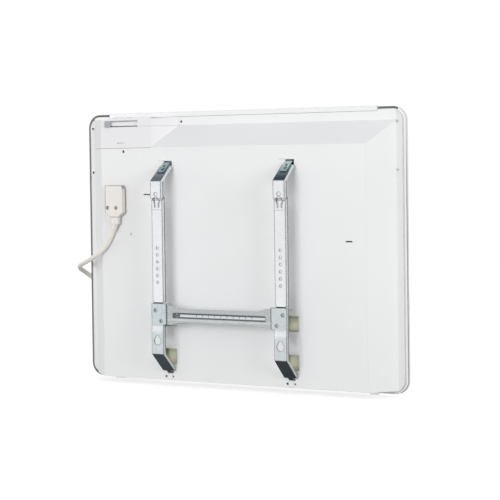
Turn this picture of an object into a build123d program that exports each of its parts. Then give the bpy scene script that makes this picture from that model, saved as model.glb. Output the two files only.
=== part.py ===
from build123d import *
import math
import os

# Wall-hung electric panel heater with a glass front, seen from its wall side.
# Millimetres. X to the right as seen from the wall, Y from the wall into the room, Z up.
# The origin lies on the wall, midway between the two upper screw holes of the bracket.
# Heights in this file are measured above the lower edge of the glass.

# Whole panel
panel_width = 525.0
panel_height = 400.0
glass_thickness = 5.0
glass_corner = 20.0
glass_bevel = 0.5
wall_gap = 36.0
casing_depth = 36.0
fixing_drop = 119.6

# Clearances
seat_gap = 0.3
slide_gap = 0.3
bore_gap = 0.05

# Rear casing
sheet = 1.0
rim_depth = 5.0
rim_inset = 4.3
side_rim = 9.6
top_rim = 14.7
slope_run = 32.0
casing_bottom = 5.0
window_size = 22.0
window_heights = (96.0, 41.0)
label_hole_in = 39.6
label_hole_drop = 6.0
label_hole_radius = 1.8
rear_slot_in = 80.1
rear_slot_drop = 70.0
rear_slot_length = 12.0
rear_slot_width = 1.6
dash_in = 26.6
dash_height = 213.3
dash_length = 10.0
dash_width = 1.8
wire_hole_width = 18.0
wire_hole_height = 20.0

# Front plate and its bond to the glass
plate_sheet = 0.8
plate_top_drop = 9.0
bond_width = 12.0
bond_inset = 20.0
bond_inner_x = 80.0
bond_end_margin = 16.0
clip_in = 51.5
clip_width = 12.0
clip_drop = 1.8
clip_setback = 1.0

# Air grilles
outlet_in = 41.5
outlet_foot_drop = 6.0
outlet_proud = 1.0
outlet_slot_length = 7.0
outlet_slot_pitch = 10.0
outlet_slot_side = 0.2
inlet_level = 6.5
inlet_flange = 10.0
inlet_slot_width = 3.4
inlet_slot_pitch = 7.0
inlet_slot_side = 4.0
hook_room_x = 4.0
hook_room_y = 3.0

# Heating chamber
shield_sheet = 0.8
shield_depth = 8.0
shield_start = 5.0
shield_in = 11.6
shield_bottom = 24.0
shield_top_drop = 14.0
wall_in = 51.6
wall_sheet = 0.8
wall_top_drop = 9.0
element_height = 95.0
element_y = 56.5
element_in = 20.0
rod_radius = 4.0
rod_overhang_left = 32.0
rod_overhang_right = 12.0
rod_pin_length = 8.0
hub_radius = 6.0
wing_reach_y = 8.0
wing_reach_z = 27.0
wing_thickness = 1.2
wing_slot_width = 3.0
wing_slot_pitch = 13.0
wing_slot_start = 10.0
wing_slot_end = 22.0
support_sheet = 1.0
support_height = 60.0
support_inset = 4.0
support_foot = 9.0
bush_radius = 6.5
bush_length = 9.0
cutout_in = 50.0
cutout_height = 160.0
cutout_radius = 8.0
cutout_length = 8.0
cutout_flange = 12.0
blade_width = 6.0
blade_sheet = 0.8

# Terminal block and inner wires
block_in = 26.6
block_drop = 40.3
block_width = 30.0
block_depth = 12.0
block_tall = 12.0
block_screws = 3
block_screw_pitch = 9.0
block_screw_radius = 2.0
wire_radius = 1.2
wire_pitch = 9.0
wire_drop = 30.0
wire_bend = 8.0
wire_room = 4.0

# Control unit in the upper left corner
unit_length = 87.2
unit_overlap = 0.7
unit_top_drop = 8.5
unit_wall = 2.0
module_in = 4.6
module_length = 80.0
module_back = 2.4
module_front = 28.0
module_lift = 3.7
module_proud = 1.5
unit_notch_in = 35.1
unit_notch_lift = 7.3
unit_notch_length = 12.0
unit_notch_width = 1.4
window_in = 23.0
window_width = 28.0
window_depth = 12.0
window_sink = 1.2
key_places = (11.0, 23.0, 35.0)
key_radius = 4.0
key_proud = 1.4
key_collar = 1.0
key_collar_height = 1.2
key_stem = 5.0
key_round = 0.6
board_sheet = 1.6
board_drop = 12.0
relay_inset = 8.0
relay_length = 18.0
relay_side = 3.5
relay_height = 14.0
capacitor_inset = 14.0
capacitor_length = 18.0
capacitor_radius = 5.0

# Lock slider of the control unit
knob_size = 10.0
knob_proud = 1.6
knob_in = 8.0
knob_drop = 7.1
knob_corner = 1.0
knob_groove_pitch = 2.4
knob_groove_width = 0.8
knob_groove_depth = 0.5
knob_groove_length = 6.8
lock_stem_width = 6.0
lock_slot_height = 7.6
lock_travel = 49.0
lock_foot_drop = 4.4
lock_foot_sheet = 1.2
lock_groove_depth = 1.7
lock_link = 0.6

# Cord connection box
box_in = 11.6
box_width = 31.5
box_bottom = 245.5
box_tall = 47.2
box_depth = 10.0
box_wall = 2.0
box_corner_x = 3.0
box_corner_z = 5.0
box_lower_cut = 7.0
box_round = 1.2
box_screw_lift = 14.1
box_screw_places = (5.0, 20.0)
box_screw_radius = 1.5
box_screw_head = 2.8
box_screw_head_height = 1.2
box_screw_recess = 3.6
box_screw_wall = 1.0
box_screw_length = 13.0
driver_slot = 0.8
neck_width = 14.4
neck_depth = 9.4
neck_length = 10.5
neck_round = 2.5
neck_tongue = 4.0
neck_tongue_inset = 2.5
relief_start_radius = 4.6
relief_end_radius = 4.2
relief_buried = 3.0

# Casing screws on the rims
screw_radius = 1.2
screw_head_radius = 2.0
screw_head_height = 1.2
screw_head_round = 0.6
screw_length = 4.0
screw_in = 7.2
screw_drops = (21.0, 88.0)
top_screw_in = 122.8
top_screw_drop = 13.6

# Wall bracket
rail_spacing = 200.0
rail_width = 18.0
strap_width = 19.6
steel = 1.2
flange_depth = 7.5
arm_flange_depth = 4.4
strap_shift = 1.0
bar_level = 105.0
rail_foot_drop = 13.0
joint_lift = 16.6
joint_gap = 1.4
joggle_drop = 7.6
joggle_rise = 2.6
upper_bend_lift = 18.6
arm_rise = 22.0
arm_stop = 7.5
lower_bend = 48.0
lower_arm_stop = 5.5
lower_arm_lift = 3.0
lower_flange_lift = 5.0
hook_width = 8.0
hook_level = 17.0
hook_past = 5.7
hook_finger = 8.0
ear_reach = 5.5
ear_drop = 14.0
strap_joggle_drop = 17.5
strap_joggle_rise = 4.6
strap_flange_lift = 0.4
fixing_radius = 2.5
pitch_holes = 6
pitch_first = 152.0
pitch_step = 10.0
pitch_radius = 1.6
tongue_gap = 1.1
tongue_head_radius = 4.2
tongue_head_drop = 9.8
tongue_stem_width = 5.2
tongue_foot_drop = 19.4
notch_drop = 7.4
notch_in = 4.6
notch_width = 1.4
keyhole_height = 67.0
keyhole_radius = 5.5
keyhole_neck = 3.0
keyhole_rise = 8.3

# Cross bar between the two rails
bar_sheet = 1.0
bar_height = 20.0
bar_overhang = 4.6
bar_end_up = 14.2
bar_end_down = 13.8
bar_flare = 26.0
bar_flat = 9.0
bar_slot_in_left = 25.6
bar_slot_in_right = 24.3
bar_slot_height = 6.6
scale_in_left = 21.6
scale_in_right = 16.0
scale_height = 12.0
scale_sheet = 0.8
tick_count = 10
tick_first = 42.4
tick_pitch = 10.0
tick_width = 0.7
tick_length = 3.2
tick_lift = 1.3
tick_depth = 0.3
clinch_places = ((3.6, 6.5), (-5.8, -8.7))
clinch_radius = 2.6
clinch_head_radius = 3.6
clinch_head_height = 0.8
clinch_edge = 2.0
clinch_cup = 1.9
clinch_cup_depth = 1.0

# Spring catches on the upper arms
catch_width = 11.0
catch_sheet = 1.2
catch_start = 19.0
catch_margin = 0.6
catch_past = 4.5
nose_corner = 2.5
catch_travel = 6.0
catch_pin_along = 28.0
catch_pin_radius = 1.4
catch_pin_head = 2.7
catch_pin_head_height = 0.8
catch_slot_half = 6.6
catch_slot_lift = 21.4
catch_slot_tall = 7.8
ridge_left = 16.0
ridge_height = 1.6
ridge_proud = 0.6

# Hook slots of the casing
hook_slot_half = 5.0
hook_slot_bottom = 15.8
tab_bottom = 6.5
tab_top = 15.0
tab_proud = 0.5
tab_shift = -1.3
relief_holes = ((-7.6, 1.7), (4.6, 1.3))
relief_hole_height = 10.8

# Mains cord, its coil and its plug
cord_radius = 3.75
coil_gap = 0.5
coil_inner_radius = 33.0
coil_halves = 8
coil_climb = 4
coil_lead = 8.0
coil_tail_run = 48.0
tie_width = 9.0
tie_sheet = 0.8
tie_gap = 0.3
tie_room = 1.2
tie_corner = 2.4
plug_radius = 18.0
plug_face = 7.0
plug_grip_radius = 13.5
plug_length = 38.0
plug_tail_radius = 5.2
plug_waist = 11.4
plug_waist_radius = 9.7
plug_flare = 6.0
plug_round = 1.5
pin_radius = 2.4
pin_length = 19.0
pin_pitch = 19.0
pin_buried = 8.0
pin_round = 1.6

# The cord's first points, from the end of its strain relief
cord_exit = (-3.75, -0.5, -8.5)
cord_start = [
    (-7.6, 0.0, -16.5),
    (-20.0, 0.5, -31.0),
    (-35.5, 2.0, -41.3),
]

# Its route on from there, round the left edge and down to the coil: X from the edge, height
cord_run = [
    (8.3, 43.5, 175.6),
    (-21.0, 66.0, 167.2),
    (-27.5, 101.0, 154.4),
    (-15.5, 134.0, 131.4),
    (-7.5, 154.0, 100.4),
    (-2.5, 169.0, 66.4),
    (2.5, 180.0, 34.4),
    (19.5, 187.0, 12.9),
    (42.5, 188.0, 1.75),
    (62.5, 188.0, 1.75),
]


# Places worked out from the sizes above
fixing_height = panel_height - fixing_drop
casing_back = wall_gap
inner_back = casing_back + sheet
glass_back = wall_gap + casing_depth
glass_front = glass_back + glass_thickness
rim_back = glass_back - rim_depth
rim_front = rim_back + sheet
rim_half = panel_width / 2 - rim_inset
fold_half = rim_half - side_rim
back_half = fold_half - slope_run
fold_top = panel_height - rim_inset - top_rim
back_top = fold_top - slope_run
slope_depth = rim_back - casing_back
slope_length = math.hypot(slope_run, slope_depth)
plate_front = rim_front + plate_sheet
shield_back = inner_back + shield_depth
shield_front = shield_back + shield_sheet
unit_front = rim_back - seat_gap
unit_slope = slope_run / slope_depth
plate_top = panel_height - plate_top_drop
clip_x = panel_width / 2 - clip_in
coil_pitch = 2 * cord_radius + coil_gap

# Places on the flat back
label_hole_x = label_hole_in - back_half
label_hole_height = back_top - label_hole_drop
rear_slot_x = rear_slot_in - back_half
rear_slot_height = back_top - rear_slot_drop
dash_x = back_half - dash_in
outlet_half = panel_width / 2 - outlet_in
outlet_foot = panel_height - outlet_foot_drop
outlet_top = panel_height + outlet_proud
wall_x = wall_in - back_half
wall_top = back_top - wall_top_drop
shield_left = wall_x + shield_start
shield_right = back_half - shield_in
shield_top = back_top - shield_top_drop
element_left = shield_left + element_in
element_right = shield_right - element_in
cutout_x = shield_left + cutout_in

# Places of the control unit and of the connection box
unit_right = back_half - unit_length
unit_bottom = back_top - unit_overlap
unit_top = panel_height - unit_top_drop
module_left = back_half - module_in
module_right = module_left - module_length
module_bottom = unit_bottom + module_lift
module_top = unit_top + module_proud
unit_notch_x = unit_notch_in - back_half
unit_notch_height = unit_bottom + unit_notch_lift
window_x = -module_right - window_in
key_x = [place - module_left for place in key_places]
knob_x = knob_in - module_left
knob_height = unit_top - knob_drop
block_x = block_in - back_half
block_height = unit_bottom - block_drop
box_left = box_in - back_half
box_right = box_left + box_width
box_top = box_bottom + box_tall
box_screw_height = box_bottom + box_screw_lift
box_screw_x = [box_left + place for place in box_screw_places]
neck_bottom = box_bottom - neck_length

# Places on the wall bracket
rail_x = rail_spacing / 2
rail_shift = strap_shift + steel + bar_sheet
bar_back = strap_shift + steel
rail_start = bar_level + joint_lift + joint_gap
rail_foot = bar_level - rail_foot_drop
joint_height = bar_level + joint_lift
strap_joggle = bar_level - strap_joggle_drop
ear_bottom = bar_level - ear_drop
strap_flange_top = strap_joggle + strap_joggle_rise / 2 + strap_flange_lift
joggle_height = fixing_height - joggle_drop
tongue_head_height = fixing_height - tongue_head_drop
tongue_foot = fixing_height - tongue_foot_drop
notch_height = fixing_height - notch_drop
upper_bend = fixing_height + upper_bend_lift
arm_reach = wall_gap - arm_stop
arm_top = upper_bend + arm_rise
arm_length = math.hypot(arm_reach, arm_rise)
arm_angle = math.atan2(arm_rise, arm_reach)
lower_arm_reach = wall_gap - lower_arm_stop
lower_arm_end = hook_level + lower_arm_lift
lower_flange_end = hook_level + lower_flange_lift
hook_reach = wall_gap + hook_past
hook_top = hook_level + hook_finger
hook_slot_top = hook_level + steel + seat_gap
keyhole_top = keyhole_height + keyhole_rise
bar_end = rail_x + bar_overhang
bar_slot_left = bar_slot_in_left - rail_x
bar_slot_right = rail_x - bar_slot_in_right
scale_left = scale_in_left - rail_x
scale_right = rail_x - scale_in_right
clinch_points = [(rail_x + x, bar_level + rise) for x, rise in clinch_places]
catch_bend = arm_length + catch_travel + catch_margin
catch_nose = wall_gap + catch_past
catch_slot_bottom = upper_bend + catch_slot_lift
catch_slot_top = catch_slot_bottom + catch_slot_tall


def level(height):
    """Z of a height above the lower edge of the glass."""
    return height - fixing_height


def free_route():
    """The points that the free cord is laid by, from its strain relief to its coil."""
    x, y, z = cord_exit
    start = Vector(neck_x() + x, neck_y() + y, level(neck_bottom) + z)
    points = [start] + [start + Vector(*step) for step in cord_start]
    points += [Vector(x - panel_width / 2, y, level(height)) for x, y, height in cord_run]
    return [tuple(point) for point in points]


def block(x, y, z):
    """A box between a pair of limits on each axis."""
    size = (x[1] - x[0], y[1] - y[0], z[1] - z[0])
    return Pos((x[0] + x[1]) / 2, (y[0] + y[1]) / 2, (z[0] + z[1]) / 2) * Box(*size)


def prism_x(outline, low, high):
    """Extrude an outline of (y, z) points along X."""
    face = Face(Wire.make_polygon([(low, y, z) for y, z in outline], close=True))
    return Solid.extrude(face, Vector(high - low, 0, 0))


def prism_y(outline, low, high):
    """Extrude an outline of (x, z) points along Y."""
    face = Face(Wire.make_polygon([(x, low, z) for x, z in outline], close=True))
    return Solid.extrude(face, Vector(0, high - low, 0))


def prism_z(outline, low, high):
    """Extrude an outline of (x, y) points along Z."""
    face = Face(Wire.make_polygon([(x, y, low) for x, y in outline], close=True))
    return Solid.extrude(face, Vector(0, 0, high - low))


def rod(start, end, radius, end_radius=None):
    """A round bar between two points, tapered if it has a second radius."""
    run = Vector(*end) - Vector(*start)
    place = Plane(origin=start, z_dir=run)
    low = (Align.CENTER, Align.CENTER, Align.MIN)
    if end_radius is None:
        return place * Cylinder(radius, run.length, align=low)
    return place * Cone(radius, end_radius, run.length, align=low)


def pin_y(x, z, radius, low, high):
    """A round bar along Y."""
    return rod((x, low, z), (x, high, z), radius)


def rounded_slab(half_width, bottom, top, corner, back, front):
    """An upright plate with rounded corners."""
    plate = block((-half_width, half_width), (back, front), (bottom, top))
    return fillet(plate.edges().filter_by(Axis.Y), corner)


def band(path, depth, end_depth=None):
    """The outline of a strip along a bent line of (y, z) points, on its heater's side where it climbs."""
    lines = []
    for first, second in zip(path, path[1:]):
        length = math.dist(first, second)
        lines.append(((second[1] - first[1]) / length, (first[0] - second[0]) / length, depth))
    if end_depth is not None:
        lines[-1] = (*lines[-1][:2], end_depth)
    far = [offset_point(path[0], lines[0])]
    for point, before, after in zip(path[1:-1], lines, lines[1:]):
        turn = before[0] * after[1] - before[1] * after[0]
        y = (before[2] * after[1] - after[2] * before[1]) / turn
        z = (after[2] * before[0] - before[2] * after[0]) / turn
        far.append((point[0] + y, point[1] + z))
    far.append(offset_point(path[-1], lines[-1]))
    return list(path) + far[::-1]


def offset_point(point, line):
    """A point moved square to a line, which is given by its normal and a distance."""
    return (point[0] + line[0] * line[2], point[1] + line[1] * line[2])


def save(name, *solids):
    """Write one node, as one solid or a group of separate solids."""
    shape = solids[0] if len(solids) == 1 else Compound(children=list(solids))
    export_step(shape, f"parts/{name}.step")


def both_sides(shape):
    """A piece and its mirror image across the middle of the panel."""
    return shape, mirror(shape, about=Plane.YZ)


# Glass front

def front_glass():
    """Toughened glass with rounded corners and ground edges."""
    glass = rounded_slab(
        panel_width / 2, level(0), level(panel_height), glass_corner, glass_back, glass_front
    )
    rims = glass.faces().sort_by(Axis.Y)
    return chamfer(rims[0].edges() + rims[-1].edges(), glass_bevel)


def front_plate():
    """Steel plate behind the glass, seated on the front of the rim."""
    half = rim_half - sheet - seat_gap
    bottom = level(rim_inset + sheet + seat_gap)
    corner = glass_corner - rim_inset - sheet
    plate = rounded_slab(half, bottom, level(plate_top), corner, rim_front, plate_front)
    for x, height in screw_places():
        plate -= pin_y(x, level(height), screw_radius + bore_gap, rim_front - 1, plate_front + 1)
    return plate


def bonding_strips():
    """Four strips of adhesive that carry the glass on the plate."""
    bottom = level(rim_inset + bond_end_margin)
    top = level(plate_top - bond_end_margin)
    strips = []
    for centre in (rim_half - bond_inset, bond_inner_x):
        side = (centre - bond_width / 2, centre + bond_width / 2)
        strips += both_sides(block(side, (plate_front, glass_back), (bottom, top)))
    return strips


def glass_clips():
    """Two clips under the edge of the glass, each with a leg up to the casing's lower return."""
    side = (clip_x - clip_width / 2, clip_x + clip_width / 2)
    foot_top = level(-seat_gap)
    start = rim_front + clip_setback
    foot = block(side, (start, glass_front - clip_setback), (foot_top - clip_drop, foot_top))
    leg_top = level(rim_inset - seat_gap)
    leg = block(side, (start, glass_back - 2 * seat_gap), (foot_top - clip_drop, leg_top))
    return both_sides(foot + leg)


# Rear casing

def tray(inset, bottom, overrun):
    """The casing's form: a flat back with side and top slopes out to the rim, drawn in by an inset."""
    shrink = inset * slope_length / slope_depth
    rise = inset * slope_run / slope_depth
    start = casing_back + inset
    side_back = back_half + rise - shrink
    side_rim_half = fold_half - shrink
    plan = [(-side_back, start), (side_back, start), (side_rim_half, rim_back)]
    plan += [(side_rim_half, rim_back + overrun), (-side_rim_half, rim_back + overrun)]
    plan += [(-side_rim_half, rim_back)]
    top_back = level(back_top + rise - shrink)
    top_rim_level = level(fold_top - shrink)
    profile = [(start, bottom), (start, top_back), (rim_back, top_rim_level)]
    profile += [(rim_back + overrun, top_rim_level), (rim_back + overrun, bottom)]
    wide = panel_width
    return prism_z(plan, bottom, level(panel_height)) & prism_x(profile, -wide, wide)


def rim():
    """Flat rim with a return towards the glass, rounded like the glass."""
    corner = glass_corner - rim_inset
    low, high = level(rim_inset), level(panel_height - rim_inset)
    outer = rounded_slab(rim_half, low, high, corner, rim_back, glass_back - seat_gap)
    inner = rounded_slab(
        rim_half - sheet, low + sheet, high - sheet, corner - sheet, rim_front, glass_back
    )
    return outer - inner


def unit_plan(inset, grow, front):
    """Plan outline of the control unit between its two slopes."""
    start = casing_back + inset
    depth = front - start
    left = -back_half + inset * slope_length / slope_depth - inset * unit_slope - grow
    right = -unit_right - inset * slope_length / slope_depth + inset * unit_slope + grow
    return [
        (left, start),
        (right, start),
        (right + depth * unit_slope, front),
        (left - depth * unit_slope, front),
    ]


def casing_openings():
    """Windows, slots and holes through the flat back."""
    through = (casing_back - 2, inner_back + 2)
    cuts = []
    for x in (-rail_x, rail_x):
        for height in window_heights:
            half = window_size / 2
            middle = level(height)
            cuts.append(block((x - half, x + half), through, (middle - half, middle + half)))
        side = (x - hook_slot_half, x + hook_slot_half)
        cuts.append(block(side, through, (level(hook_slot_bottom), level(hook_slot_top))))
        side = (x - catch_slot_half, x + catch_slot_half)
        cuts.append(block(side, through, (level(catch_slot_bottom), level(catch_slot_top))))
        for offset, radius in relief_holes:
            cuts.append(pin_y(x + offset, level(relief_hole_height), radius, *through))
    cuts.append(pin_y(label_hole_x, level(label_hole_height), label_hole_radius, *through))
    for x, height, length, width in (
        (rear_slot_x, rear_slot_height, rear_slot_length, rear_slot_width),
        (dash_x, dash_height, dash_length, dash_width),
    ):
        side = (x - length / 2, x + length / 2)
        cuts.append(block(side, through, (level(height) - width / 2, level(height) + width / 2)))
    box_x = (box_left + box_right) / 2
    box_z = level((box_bottom + box_top) / 2) + wire_hole_height / 4
    side = (box_x - wire_hole_width / 2, box_x + wire_hole_width / 2)
    tall = (box_z - wire_hole_height / 2, box_z + wire_hole_height / 2)
    cuts.append(block(side, through, tall))
    for x in box_screw_x:
        cuts.append(pin_y(x, level(box_screw_height), box_screw_radius + bore_gap, *through))
    return cuts


def rear_casing():
    """Folded steel casing, open below, with a corner cut out for the control unit."""
    shell = tray(0, level(casing_bottom), 0) + rim()
    shell -= tray(sheet, level(casing_bottom) - 10, 10)
    corner = (level(unit_bottom) - seat_gap, level(panel_height))
    shell -= prism_z(unit_plan(0, seat_gap, rim_back), *corner)
    shell -= block((-panel_width, -unit_right), (casing_back - 1, rim_back), corner)
    mouth = (level(outlet_foot) - seat_gap, level(outlet_top))
    reach = outlet_half + seat_gap
    shell -= block((-reach, reach), (rim_back - 1, glass_front), mouth)
    for x in (-rail_x, rail_x):
        side = (x - ridge_left, x + catch_slot_half)
        tall = (level(catch_slot_top), level(catch_slot_top) + ridge_height)
        shell += block(side, (casing_back - ridge_proud, casing_back), tall)
        side = (x + tab_shift - hook_width / 2, x + tab_shift + hook_width / 2)
        tall = (level(tab_bottom), level(tab_top))
        shell += block(side, (casing_back - tab_proud, casing_back), tall)
    for cut in casing_openings():
        shell -= cut
    for x, height in screw_places():
        shell -= pin_y(x, level(height), screw_radius + bore_gap, rim_back - 1, rim_front + 1)
    return shell


def screw_places():
    """Screws along both side rims, and one in the top rim beside the control unit."""
    x = rim_half - screw_in
    places = [(side * x, panel_height - drop) for side in (-1, 1) for drop in screw_drops]
    return places + [(top_screw_in - back_half, panel_height - top_screw_drop)]


def casing_screws():
    """Pan-head screws through the rim into the front plate."""
    screws = []
    for x, height in screw_places():
        z = level(height)
        head = pin_y(x, z, screw_head_radius, rim_back - screw_head_height, rim_back)
        head = fillet(head.edges().group_by(Axis.Y)[0], screw_head_round)
        screws.append(head + pin_y(x, z, screw_radius, rim_back, rim_back + screw_length))
    return screws


def outlet_grille():
    """Channel along the top of the casing with a row of air slots."""
    top, foot = level(outlet_top), level(outlet_foot)
    front = glass_back - seat_gap
    grille = block((-outlet_half, outlet_half), (rim_back, front), (foot, top))
    grille -= block(
        (-outlet_half - 1, outlet_half + 1), (rim_front, front - sheet), (foot - 1, top - sheet)
    )
    count = int((2 * outlet_half - outlet_slot_pitch) / outlet_slot_pitch)
    first = -(count - 1) * outlet_slot_pitch / 2
    slots = (rim_front + outlet_slot_side, front - sheet - outlet_slot_side)
    for index in range(count):
        x = first + index * outlet_slot_pitch
        half = outlet_slot_length / 2
        grille -= block((x - half, x + half), slots, (top - 2 * sheet, top + 1))
    return grille


def inlet_grille():
    """Slotted strip across the open bottom of the casing, with a flange up its back."""
    low = level(inlet_level)
    inner = tray(sheet + seat_gap, low - 10, 0)
    strip = inner & block((-panel_width, panel_width), (0, glass_back), (low, low + sheet))
    reach = back_half - 2 * sheet
    flange = block(
        (-reach, reach),
        (inner_back + seat_gap, inner_back + seat_gap + sheet),
        (low, low + inlet_flange),
    )
    for x in (-rail_x, rail_x):
        side = (x - hook_slot_half - hook_room_x, x + hook_slot_half + hook_room_x)
        gap = block(side, (0, hook_reach + hook_room_y), (low - 1, low + inlet_flange + 1))
        flange -= gap
        strip -= gap
    strip += flange
    count = int(2 * reach / inlet_slot_pitch)
    first = -(count - 1) * inlet_slot_pitch / 2
    slots = (hook_reach + hook_room_y + inlet_slot_side, rim_back - inlet_slot_side)
    for index in range(count):
        x = first + index * inlet_slot_pitch
        half = inlet_slot_width / 2
        strip -= block((x - half, x + half), slots, (low - 1, low + sheet + 1))
    return strip


# Heating chamber

def heat_shield():
    """Pale sheet behind the element, with side flanges that stand on the casing's back."""
    bottom, top = level(shield_bottom), level(shield_top)
    back = inner_back + seat_gap
    shield = block((shield_left, shield_right), (back, shield_front), (bottom, top))
    inside = (shield_left + shield_sheet, shield_right - shield_sheet)
    return shield - block(inside, (0, shield_back), (bottom - 1, top + 1))


def compartment_wall():
    """Wall between the heating chamber and the wiring, with a hole for the element's rod."""
    wall = block(
        (wall_x, wall_x + wall_sheet),
        (inner_back + seat_gap, rim_front - seat_gap),
        (level(inlet_level + inlet_flange) + seat_gap, level(wall_top)),
    )
    z = level(element_height)
    ends = ((wall_x - 1, element_y, z), (wall_x + 2, element_y, z))
    return wall - rod(*ends, bush_radius + seat_gap)


def heating_element():
    """Cross-shaped finned aluminium body with slotted wings round a central hub."""
    z = level(element_height)
    ends = ((element_left, element_y, z), (element_right, element_y, z))
    body = rod(*ends, hub_radius)
    angle = math.degrees(math.atan2(wing_reach_z, wing_reach_y))
    span = 2 * math.hypot(wing_reach_y, wing_reach_z)
    length = element_right - element_left
    middle = (element_left + element_right) / 2
    count = int((length - wing_slot_pitch) / wing_slot_pitch)
    first = middle - (count - 1) * wing_slot_pitch / 2
    wing_slot = (wing_slot_width, wing_slot_end - wing_slot_start, 2 * wing_thickness)
    for tilt in (angle, -angle):
        wings = Box(length, span, wing_thickness)
        for side in (-1, 1):
            for index in range(count):
                x = first + index * wing_slot_pitch - middle
                y = side * (wing_slot_start + wing_slot_end) / 2
                wings -= Pos(x, y, 0) * Box(*wing_slot)
        body += Pos(middle, element_y, z) * Rot(tilt, 0, 0) * wings
    return body - rod(*ends, rod_radius + bore_gap)


def element_rod():
    """Sheathed heating rod through the hub, with a terminal pin at each end."""
    z = level(element_height)
    left = element_left - rod_overhang_left
    right = element_right + rod_overhang_right
    body = rod((left, element_y, z), (right, element_y, z), rod_radius)
    body += rod((left - rod_pin_length, element_y, z), (left, element_y, z), rod_radius / 2)
    return body


def element_supports():
    """Two sheet brackets on the shield with ceramic bushes that carry the rod."""
    z = level(element_height)
    supports = []
    for x, turn in ((element_left - support_inset, -1), (element_right + support_inset, 1)):
        side = sorted((x, x + turn * support_sheet))
        tall = (z - support_height / 2, z + support_height / 2)
        web = block(side, (shield_front, rim_front - seat_gap), tall)
        foot_side = sorted((x, x + turn * support_foot))
        web += block(foot_side, (shield_front, shield_front + support_sheet), tall)
        face = x + turn * support_sheet
        bush = rod((face - turn * bush_length, element_y, z), (face, element_y, z), bush_radius)
        reach = 2 * bush_length
        hole = rod((x - reach, element_y, z), (x + reach, element_y, z), rod_radius + bore_gap)
        side = (element_left - seat_gap, element_right + seat_gap)
        clear = block(side, (shield_front, glass_back), (z - reach, z + reach))
        supports.append((web + bush - clear) - hole)
    return supports


def thermal_cutout():
    """Round thermal cut-out on the shield, with its mounting flange and two blades."""
    z = level(cutout_height)
    body = pin_y(cutout_x, z, cutout_radius, shield_front, shield_front + cutout_length)
    half = cutout_flange
    tall = (z - half / 3, z + half / 3)
    body += block((cutout_x - half, cutout_x + half), (shield_front, shield_front + 1), tall)
    for side in (-1, 1):
        x = cutout_x + side * cutout_radius / 2
        start = shield_front + cutout_length
        thick = (x - blade_sheet / 2, x + blade_sheet / 2)
        tall = (z - blade_width / 2, z + blade_width / 2)
        body += block(thick, (start, start + blade_width), tall)
    return body


def terminal_block():
    """Moulded block with a row of clamp screws on the casing's back."""
    z = level(block_height)
    half = block_width / 2
    back = inner_back
    body = block((block_x - half, block_x + half), (back, back + block_depth), (z, z + block_tall))
    for index in range(block_screws):
        x = block_x + (index - (block_screws - 1) / 2) * block_screw_pitch
        front = back + block_depth
        body -= pin_y(x, z + block_tall / 2, block_screw_radius, front - 4, front + 1)
    return body


def inner_wiring():
    """Three wires: two from the block up to the control unit, and one down to the element."""
    z = level(block_height)
    y = inner_back + block_depth / 2
    wires = []
    for index in (-1, 0):
        x = block_x + index * wire_pitch
        top = level(unit_bottom) - seat_gap
        wires.append(rod((x, y, z + block_tall), (x, y, top), wire_radius))
    x = block_x + wire_pitch
    end_x = element_left - rod_overhang_left - rod_pin_length / 2
    end_z = level(element_height) + rod_radius / 2
    turns = ((x, y, end_z + 2 * wire_drop), (end_x, element_y, end_z + wire_drop))
    lane = FilletPolyline((x, y, z), *turns, (end_x, element_y, end_z), radius=wire_bend)
    wires.append(sweep(Plane(origin=(x, y, z), z_dir=(0, 0, -1)) * Circle(wire_radius), path=lane))
    return wires


# Control unit

def control_housing():
    """Moulded corner housing: rear wall flush with the casing, sloped ends, and an open front."""
    bottom, top = level(unit_bottom), level(unit_top)
    shell = prism_z(unit_plan(0, 0, unit_front), bottom, top)
    inner = unit_plan(unit_wall, 0, unit_front + 1)
    shell -= prism_z(inner, bottom + unit_wall, top - unit_wall)
    gap = slide_gap
    shell -= block(
        (-module_left - gap, -module_right + gap),
        (casing_back + module_back - gap, casing_back + module_front + gap),
        (top - unit_wall - 1, top + 1),
    )
    wires = inner_back + block_depth / 2
    shell -= block(
        (block_x - block_width / 2, block_x + block_width / 2),
        (wires - wire_room, wires + wire_room),
        (bottom - 1, bottom + unit_wall + 1),
    )
    shell -= lock_slot()
    half = unit_notch_length / 2
    z = level(unit_notch_height)
    shell -= block(
        (unit_notch_x - half, unit_notch_x + half),
        (casing_back - 1, casing_back + unit_wall + 1),
        (z - unit_notch_width / 2, z + unit_notch_width / 2),
    )
    return shell


def lock_slot():
    """Long slot in the rear wall that the lock slider runs in."""
    left = knob_x - lock_stem_width / 2 - slide_gap
    right = knob_x + lock_stem_width / 2 + lock_travel + slide_gap
    half = lock_slot_height / 2
    z = level(knob_height)
    through = (casing_back - 1, casing_back + unit_wall + bore_gap)
    return block((left, right), through, (z - half, z + half))


def control_module():
    """Thermostat module in the housing: a thin-walled case, open below, with keys and a window on top."""
    bottom, top = level(module_bottom), level(module_top)
    back = casing_back + module_back
    front = casing_back + module_front
    side = (-module_left, -module_right)
    case = block(side, (back, front), (bottom, top))
    wall = lock_groove_depth + unit_wall
    inside = (side[0] + unit_wall, side[1] - unit_wall)
    case -= block(inside, (back + wall, front - unit_wall), (bottom - 1, top - unit_wall))
    z = level(knob_height)
    groove_top = z - lock_slot_height / 2 + lock_link + 2 * slide_gap
    case -= block(
        (side[0] - 1, knob_x + lock_stem_width + lock_travel + slide_gap),
        (back - 1, back + lock_groove_depth),
        (groove_top - lock_foot_drop - 4 * slide_gap, groove_top),
    )
    mid = key_y()
    for x in key_x:
        case -= rod((x, mid, top - unit_wall - 1), (x, mid, top + 1), key_radius + slide_gap)
    return case - window_block(0, 1)


def key_y():
    """Y of the row of keys, in the middle of the module's top."""
    return casing_back + (module_back + lock_groove_depth + module_front) / 2


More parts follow.
